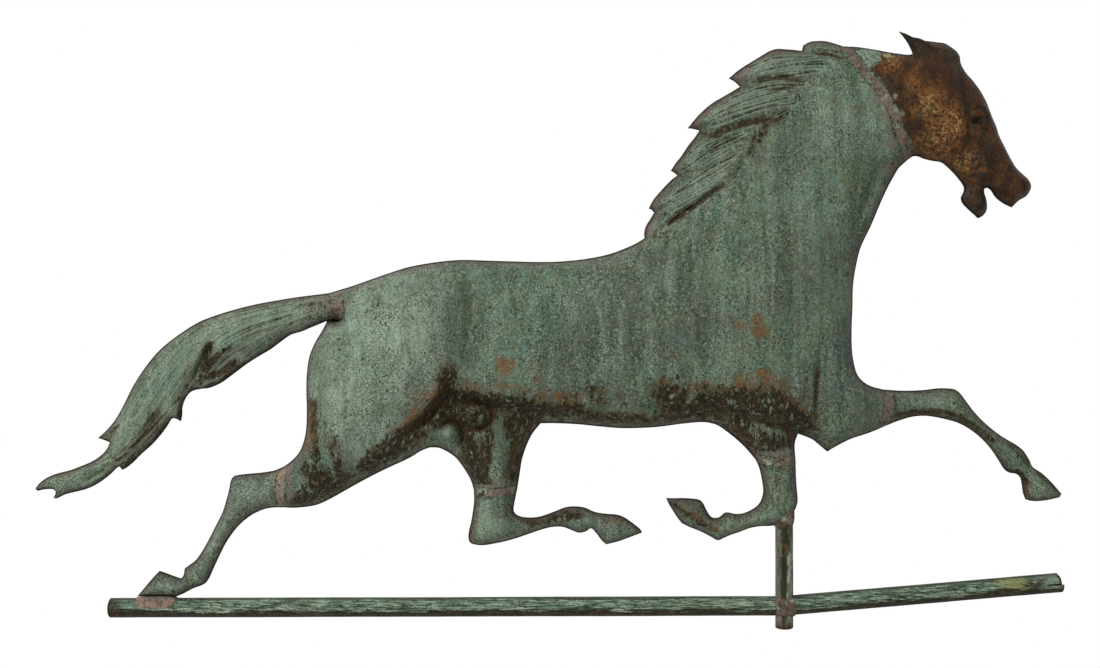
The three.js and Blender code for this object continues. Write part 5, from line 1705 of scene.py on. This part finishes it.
def floor_material(colours):
    material, graph = material_graph("studio_floor")
    grain = graph.noise(900, 2)
    graph.colour = graph.mix(graph.ramp(grain, 0.3, 0.7, 0, 0.02), colours.floor, colours.iron)
    surfaced(graph, 0.8, grain, 0.05)
    return material


MATERIALS = {
    "verdigris": verdigris_material,
    "solder": solder_material,
    "dull_solder": dull_solder_material,
    "bright_solder": bright_solder_material,
    "head": cast_head_material,
    "bar": bar_material,
    "tube": tube_material,
    "iron": iron_material,
    "floor": floor_material,
}
finishes_made = {}


def finished(piece, kind, slot=None, body="vane"):
    """Gives a piece its finish and, when a slot is named, the body that it rides on."""
    if kind not in finishes_made:
        finishes_made[kind] = MATERIALS[kind](bpy.context.scene.vane_colours)
    piece.data.materials.clear()
    piece.data.materials.append(finishes_made[kind])
    if slot:
        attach(piece, body)
    return piece


# What a user would change


def colour_of(name, description, red, green, blue):
    return bpy.props.FloatVectorProperty(
        name=name, description=description, subtype="COLOR", size=4, min=0, max=1,
        default=linear(red, green, blue))


class PatinaColours(bpy.types.PropertyGroup):
    green_grey: colour_of("Green grey", "Main colour of the patina", 96, 108, 88)
    blue_green: colour_of("Blue green", "Cooler patches of the patina", 78, 106, 91)
    slate: colour_of("Slate", "Darker drifts of the patina", 80, 84, 80)
    pale_green: colour_of("Pale green", "High places and rain streaks", 151, 167, 147)
    deep_olive: colour_of("Deep olive", "Low places of the patina", 38, 46, 27)
    umber: colour_of("Umber", "Brown of bare old copper in hollows", 64, 44, 22)
    soot: colour_of("Soot", "Black deposits", 22, 18, 9)
    edge_brown: colour_of("Edge brown", "The soldered rim", 42, 31, 20)
    rust: colour_of("Rust", "Rust stains", 112, 72, 36)
    mauve: colour_of("Mauve", "Bare soldered copper", 112, 101, 94)
    pink_grey: colour_of("Pink grey", "Fresh side of the solder", 146, 124, 106)
    dark_brown: colour_of("Dark brown", "Dark parts of the cast head", 38, 25, 16)
    brown: colour_of("Brown", "Main colour of the cast head", 72, 41, 21)
    ochre: colour_of("Ochre", "Rusty cheek of the cast head", 122, 77, 35)
    sand: colour_of("Sand", "Specks on the cheek", 188, 156, 104)
    olive_brown: colour_of("Olive brown", "Main colour of the upright tube", 76, 67, 40)
    yellow_green: colour_of("Yellow green", "Stain on the front bar", 148, 150, 96)
    iron: colour_of("Iron", "The spindle", 70, 64, 58)
    floor: colour_of("Floor", "The studio floor", 246, 246, 244)


def length_of(name, description, metres):
    return bpy.props.FloatProperty(name=name, description=description, default=metres, unit="LENGTH")


def power_of(name, description, watts):
    return bpy.props.FloatProperty(name=name, description=description, default=watts, unit="POWER")


class StageSizes(bpy.types.PropertyGroup):
    camera_distance: length_of("Camera distance", "From the lens to the middle plane", VIEW_DISTANCE)
    frame_width: length_of("Frame width", "Width of the view there", PHOTO_WIDTH_PX * METRES_PER_PX)
    floor_half: length_of("Floor half width", "From the floor's middle to its edge", 0.8)
    floor_height: length_of("Floor height", "Height of the studio floor", -0.25)
    key_power: power_of("Key light", "Power of the key light", 28.3)
    fill_power: power_of("Fill light", "Power of the fill light", 3)
    back_power: power_of("Back light", "Power of the light behind", 14)
    top_power: power_of("Top light", "Power of the top light", 3.6)
    sky: bpy.props.FloatProperty(
        name="Sky", description="Strength of the light all round", default=0.3, min=0)


# Operators, one for each piece or group of like pieces


SIDES = ((1, "near"), (-1, "far"))


class WEATHERVANE_OT_body(bpy.types.Operator):
    """Presses the two halves of the horse's body, its neck and its mane"""
    bl_idname = "weathervane.body"
    bl_label = "Body halves"

    def execute(self, context):
        loop = closed_loop(BODY_RUNS_PX, BODY_STEP_PX)
        for side, word in SIDES:
            piece = pressed_half(f"body_shell_{word}_pressed", loop, side, GRID_PX)
            finished(piece, "verdigris", "verdigris_copper")
            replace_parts(piece, f"body_shell_{word}")
        return {"FINISHED"}


class WEATHERVANE_OT_limbs(bpy.types.Operator):
    """Presses the halves of the tail and the four lower legs"""
    bl_idname = "weathervane.limbs"
    bl_label = "Tail and legs"

    def execute(self, context):
        for limb, (run, seam, _, _) in LIMBS.items():
            loop = closed_loop([run, seam[::-1]], LIMB_STEP_PX)
            spacing = HAIR_GRID_PX if limb == "tail_shell" else LIMB_GRID_PX
            for side, word in SIDES:
                piece = pressed_half(f"{limb}_{word}_pressed", loop, side, spacing)
                finished(piece, "verdigris", "verdigris_copper")
                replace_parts(piece, f"{limb}_{word}")
        return {"FINISHED"}


class WEATHERVANE_OT_head(bpy.types.Operator):
    """Casts the head with its two ears"""
    bl_idname = "weathervane.head"
    bl_label = "Cast head"

    def execute(self, context):
        loop = closed_loop([HEAD_PX, NECK_SEAM_PX], HEAD_STEP_PX)
        head = whole_form("head_casting", loop, HAIR_GRID_PX)
        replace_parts(finished(head, "head", "cast_head"), "cast_head")
        for name, aside in (("ear_near", -EAR_ASIDE), ("ear_far", EAR_ASIDE)):
            finished(ear(name, aside), "head", "cast_head")
        return {"FINISHED"}


class WEATHERVANE_OT_seams(bpy.types.Operator):
    """Lays the solder bands across the neck, the tail's root and the legs"""
    bl_idname = "weathervane.seams"
    bl_label = "Solder seams"

    def execute(self, context):
        seams = {"neck_solder": (NECK_SEAM_PX[::-1], HEAD_SEAM_HALF_WIDTH_PX)}
        seams.update({solder: (seam, width) for _, seam, solder, width in LIMBS.values()})
        for seed, (name, (seam, width)) in enumerate(seams.items()):
            loop = band_loop(seam, width, seed)
            verge = (spline(seam, BODY_STEP_PX), width)
            band = whole_form(name + "_band", loop, HAIR_GRID_PX, SOLDER_PROUD, SOLDER_ROWS_PX, verge)
            kind = "bright_solder" if name in BRIGHT_SEAMS else "solder"
            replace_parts(finished(band, kind, "solder"), name)
        return {"FINISHED"}


class WEATHERVANE_OT_bars(bpy.types.Operator):
    """Turns the rear and the front bar, the rear cap and the liner at the front mouth"""
    bl_idname = "weathervane.bars"
    bl_label = "Bars"

    def execute(self, context):
        start = TUBE_RADIUS + MEETING_GAP
        bore = BAR_RADIUS - BAR_WALL - MEETING_GAP
        rear = along_bar(-1, REAR_BAR_DROOP)
        front = along_bar(1, FRONT_BAR_RISE)
        profile = pipe_profile(start, REAR_BAR_REACH, BAR_RADIUS, BAR_WALL)
        piece = lathe("rear_bar_pipe", profile, rear, REAR_BAR_WEAR, seed=3, marks=REAR_BAR_MARKS)
        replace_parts(finished(piece, "bar", "verdigris_copper"), "rear_bar")
        profile = pipe_profile(start, FRONT_BAR_REACH, BAR_RADIUS, BAR_WALL)
        piece = lathe("front_bar_pipe", profile, front, FRONT_BAR_WEAR, seed=5, marks=FRONT_BAR_MARKS)
        mouth_cut(piece, front)
        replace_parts(finished(piece, "bar", "verdigris_copper"), "front_bar")
        mouth = FRONT_BAR_REACH - LINER_SET_BACK
        profile = pipe_profile(mouth - LINER_LENGTH, mouth, bore, LINER_WALL)
        piece = lathe("front_bar_liner_pipe", profile, front, LINER_WEAR, seed=6, marks=LINER_MARKS)
        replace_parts(finished(piece, "tube", "tube_copper"), "front_bar_liner")
        piece = lathe("rear_bar_cap_dome", cap_profile(bore), rear, CAP_WEAR, seed=7, closed=False)
        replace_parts(finished(piece, "tube", "tube_copper"), "rear_bar_cap")
        return {"FINISHED"}


class WEATHERVANE_OT_upright(bpy.types.Operator):
    """Turns the upright tube and dresses the pivot cap and the spindle"""
    bl_idname = "weathervane.upright"
    bl_label = "Upright tube and spindle"

    def execute(self, context):
        low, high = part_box("spindle_tube")
        upright = Matrix.Rotation(-math.pi / 2, 4, "Y")
        profile = pipe_profile(low.z, high.z, TUBE_RADIUS, TUBE_WALL, TUBE_PITCH)
        piece = lathe("spindle_tube_pipe", profile, upright, TUBE_WEAR, seed=8, marks=TUBE_MARKS)
        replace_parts(finished(piece, "tube", "tube_copper"), "spindle_tube")
        for node in ("pivot_cap", "spindle"):
            finished(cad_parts[node], "iron")
        return {"FINISHED"}


CROSS_LUMP_ASIDE = 0.5 * MM
CROSS_LUMP_REACH = Vector((11.5, 9.9, 9.6)) * MM
KNEE_LUMP_ASIDE = -1 * MM
KNEE_LUMP_ABOVE = 6 * MM
KNEE_LUMP_REACH = Vector((9.4, 12.8, 13)) * MM
HOOF_LUMP_BELOW = 5 * MM
HOOF_LUMP_REACH = Vector((19, 10, 6.2)) * MM


class WEATHERVANE_OT_lumps(bpy.types.Operator):
    """Pours the solder at the crossing, under the knee and under the trailing hoof"""
    bl_idname = "weathervane.lumps"
    bl_label = "Solder lumps"

    def execute(self, context):
        crossing = (CROSS_LUMP_ASIDE, 0, BAR_HEIGHT)
        piece = lump("cross_solder_lump", crossing, CROSS_LUMP_REACH, seed=2, roughness=0.16)
        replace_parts(finished(piece, "dull_solder", "solder"), "cross_solder")
        knee = (KNEE_LUMP_ASIDE, 0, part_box("knee_solder")[1].z + KNEE_LUMP_ABOVE)
        piece = lump("knee_solder_lump", knee, KNEE_LUMP_REACH, seed=4, roughness=0.08)
        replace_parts(finished(piece, "dull_solder", "solder"), "knee_solder")
        low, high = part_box("hoof_solder_pad")
        hoof = ((low.x + high.x) / 2, 0, high.z - HOOF_LUMP_BELOW)
        piece = lump("hoof_solder_lump", hoof, HOOF_LUMP_REACH, seed=6, roughness=0.12)
        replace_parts(finished(piece, "bright_solder", "solder"), "hoof_solder_pad")
        return {"FINISHED"}


# Each light's place from the frame's middle and its size, in metres
LIGHTS = {
    "key": ((-0.85, -1.25, 0.8), 0.7),
    "fill": ((0.9, -1.4, 0.15), 1.2),
    "back": ((-0.7, 1.3, 1.2), 1.2),
    "top": ((0.1, 0.2, 1.5), 1.4),
}
FLOOR_BACK = 0.84
FLOOR_CELLS = 12
SENSOR_WIDTH = 36
CLIP_START, CLIP_END = 0.05, 50


class WEATHERVANE_OT_stage(bpy.types.Operator):
    """Sets up the floor, the lights and the camera"""
    bl_idname = "weathervane.stage"
    bl_label = "Stage"

    def execute(self, context):
        sizes = context.scene.vane_stage
        lay_floor(sizes)
        set_sky(sizes)
        middle = frame_middle()
        for name, (place, size) in LIGHTS.items():
            light(name + "_light", middle + Vector(place), middle, getattr(sizes, name + "_power"), size)
        place_camera(sizes, middle)
        return {"FINISHED"}


def frame_middle():
    """The place in the middle plane that the photograph's middle shows."""
    x, z = to_frame([VIEW_MIDDLE_PX])
    return Vector((x[0], 0, z[0]))


def lay_floor(sizes):
    work = bmesh.new()
    bmesh.ops.create_grid(work, x_segments=FLOOR_CELLS, y_segments=FLOOR_CELLS, size=sizes.floor_half)
    floor = from_bmesh("studio_floor", work)
    floor.location = (frame_middle().x, FLOOR_BACK - sizes.floor_half, sizes.floor_height)
    finished(floor, "floor")


def set_sky(sizes):
    """A soft light all round, which shows white to the camera and in reflections."""
    world = bpy.data.worlds.new("studio_sky")
    world.use_nodes = True
    world.node_tree.nodes.clear()
    graph = Graph(world.node_tree)
    path = graph.node("ShaderNodeLightPath")
    seen = graph.math("MAXIMUM", path.outputs["Is Camera Ray"], path.outputs["Is Glossy Ray"])
    seen = graph.math("MAXIMUM", seen, path.outputs["Is Transmission Ray"])
    soft = graph.node("ShaderNodeBackground", Color=(1, 1, 1, 1), Strength=sizes.sky)
    white = graph.node("ShaderNodeBackground", Color=(1, 1, 1, 1), Strength=1)
    chosen = graph.tree.nodes.new("ShaderNodeMixShader")
    graph.feed(chosen.inputs[0], seen)
    graph.feed(chosen.inputs[1], soft.outputs[0])
    graph.feed(chosen.inputs[2], white.outputs[0])
    graph.node("ShaderNodeOutputWorld", Surface=chosen.outputs[0])
    bpy.context.scene.world = world


def light(name, place, target, power, size):
    """A square lamp that looks at a target."""
    lamp = bpy.data.lights.new(name, "AREA")
    lamp.energy, lamp.size = power, size
    holder = in_scene(name, lamp)
    holder.location = place
    holder.rotation_euler = (target - place).to_track_quat("-Z", "Y").to_euler()


def place_camera(sizes, middle):
    camera = bpy.data.cameras.new("camera")
    camera.sensor_width = SENSOR_WIDTH
    camera.lens = camera.sensor_width * sizes.camera_distance / sizes.frame_width
    camera.clip_start, camera.clip_end = CLIP_START, CLIP_END
    holder = in_scene("camera", camera)
    holder.location = middle - Vector((0, sizes.camera_distance, 0))
    holder.rotation_euler = (math.pi / 2, 0, 0)
    bpy.context.scene.camera = holder
    bpy.context.scene.view_settings.view_transform = "Standard"


class WEATHERVANE_PT_panel(bpy.types.Panel):
    """Lists the operators that build the weathervane"""
    bl_idname = "WEATHERVANE_PT_panel"
    bl_label = "Weathervane"
    bl_space_type = "VIEW_3D"
    bl_region_type = "UI"
    bl_category = "Weathervane"

    def draw(self, context):
        for operator in OPERATORS:
            self.layout.operator(operator.bl_idname)
        for group in (context.scene.vane_colours, context.scene.vane_stage):
            for key in group.__annotations__:
                self.layout.prop(group, key)


OPERATORS = (
    WEATHERVANE_OT_body, WEATHERVANE_OT_limbs, WEATHERVANE_OT_head, WEATHERVANE_OT_seams,
    WEATHERVANE_OT_bars, WEATHERVANE_OT_upright, WEATHERVANE_OT_lumps, WEATHERVANE_OT_stage,
)
CLASSES = (PatinaColours, StageSizes, *OPERATORS, WEATHERVANE_PT_panel)


def register():
    for cls in CLASSES:
        bpy.utils.register_class(cls)
    bpy.types.Scene.vane_colours = bpy.props.PointerProperty(type=PatinaColours)
    bpy.types.Scene.vane_stage = bpy.props.PointerProperty(type=StageSizes)


def unregister():
    del bpy.types.Scene.vane_stage
    del bpy.types.Scene.vane_colours
    for cls in reversed(CLASSES):
        bpy.utils.unregister_class(cls)


def main():
    register()
    for operator in OPERATORS:
        getattr(bpy.ops.weathervane, operator.bl_idname.split(".")[1])()


if __name__ == "__main__":
    main()
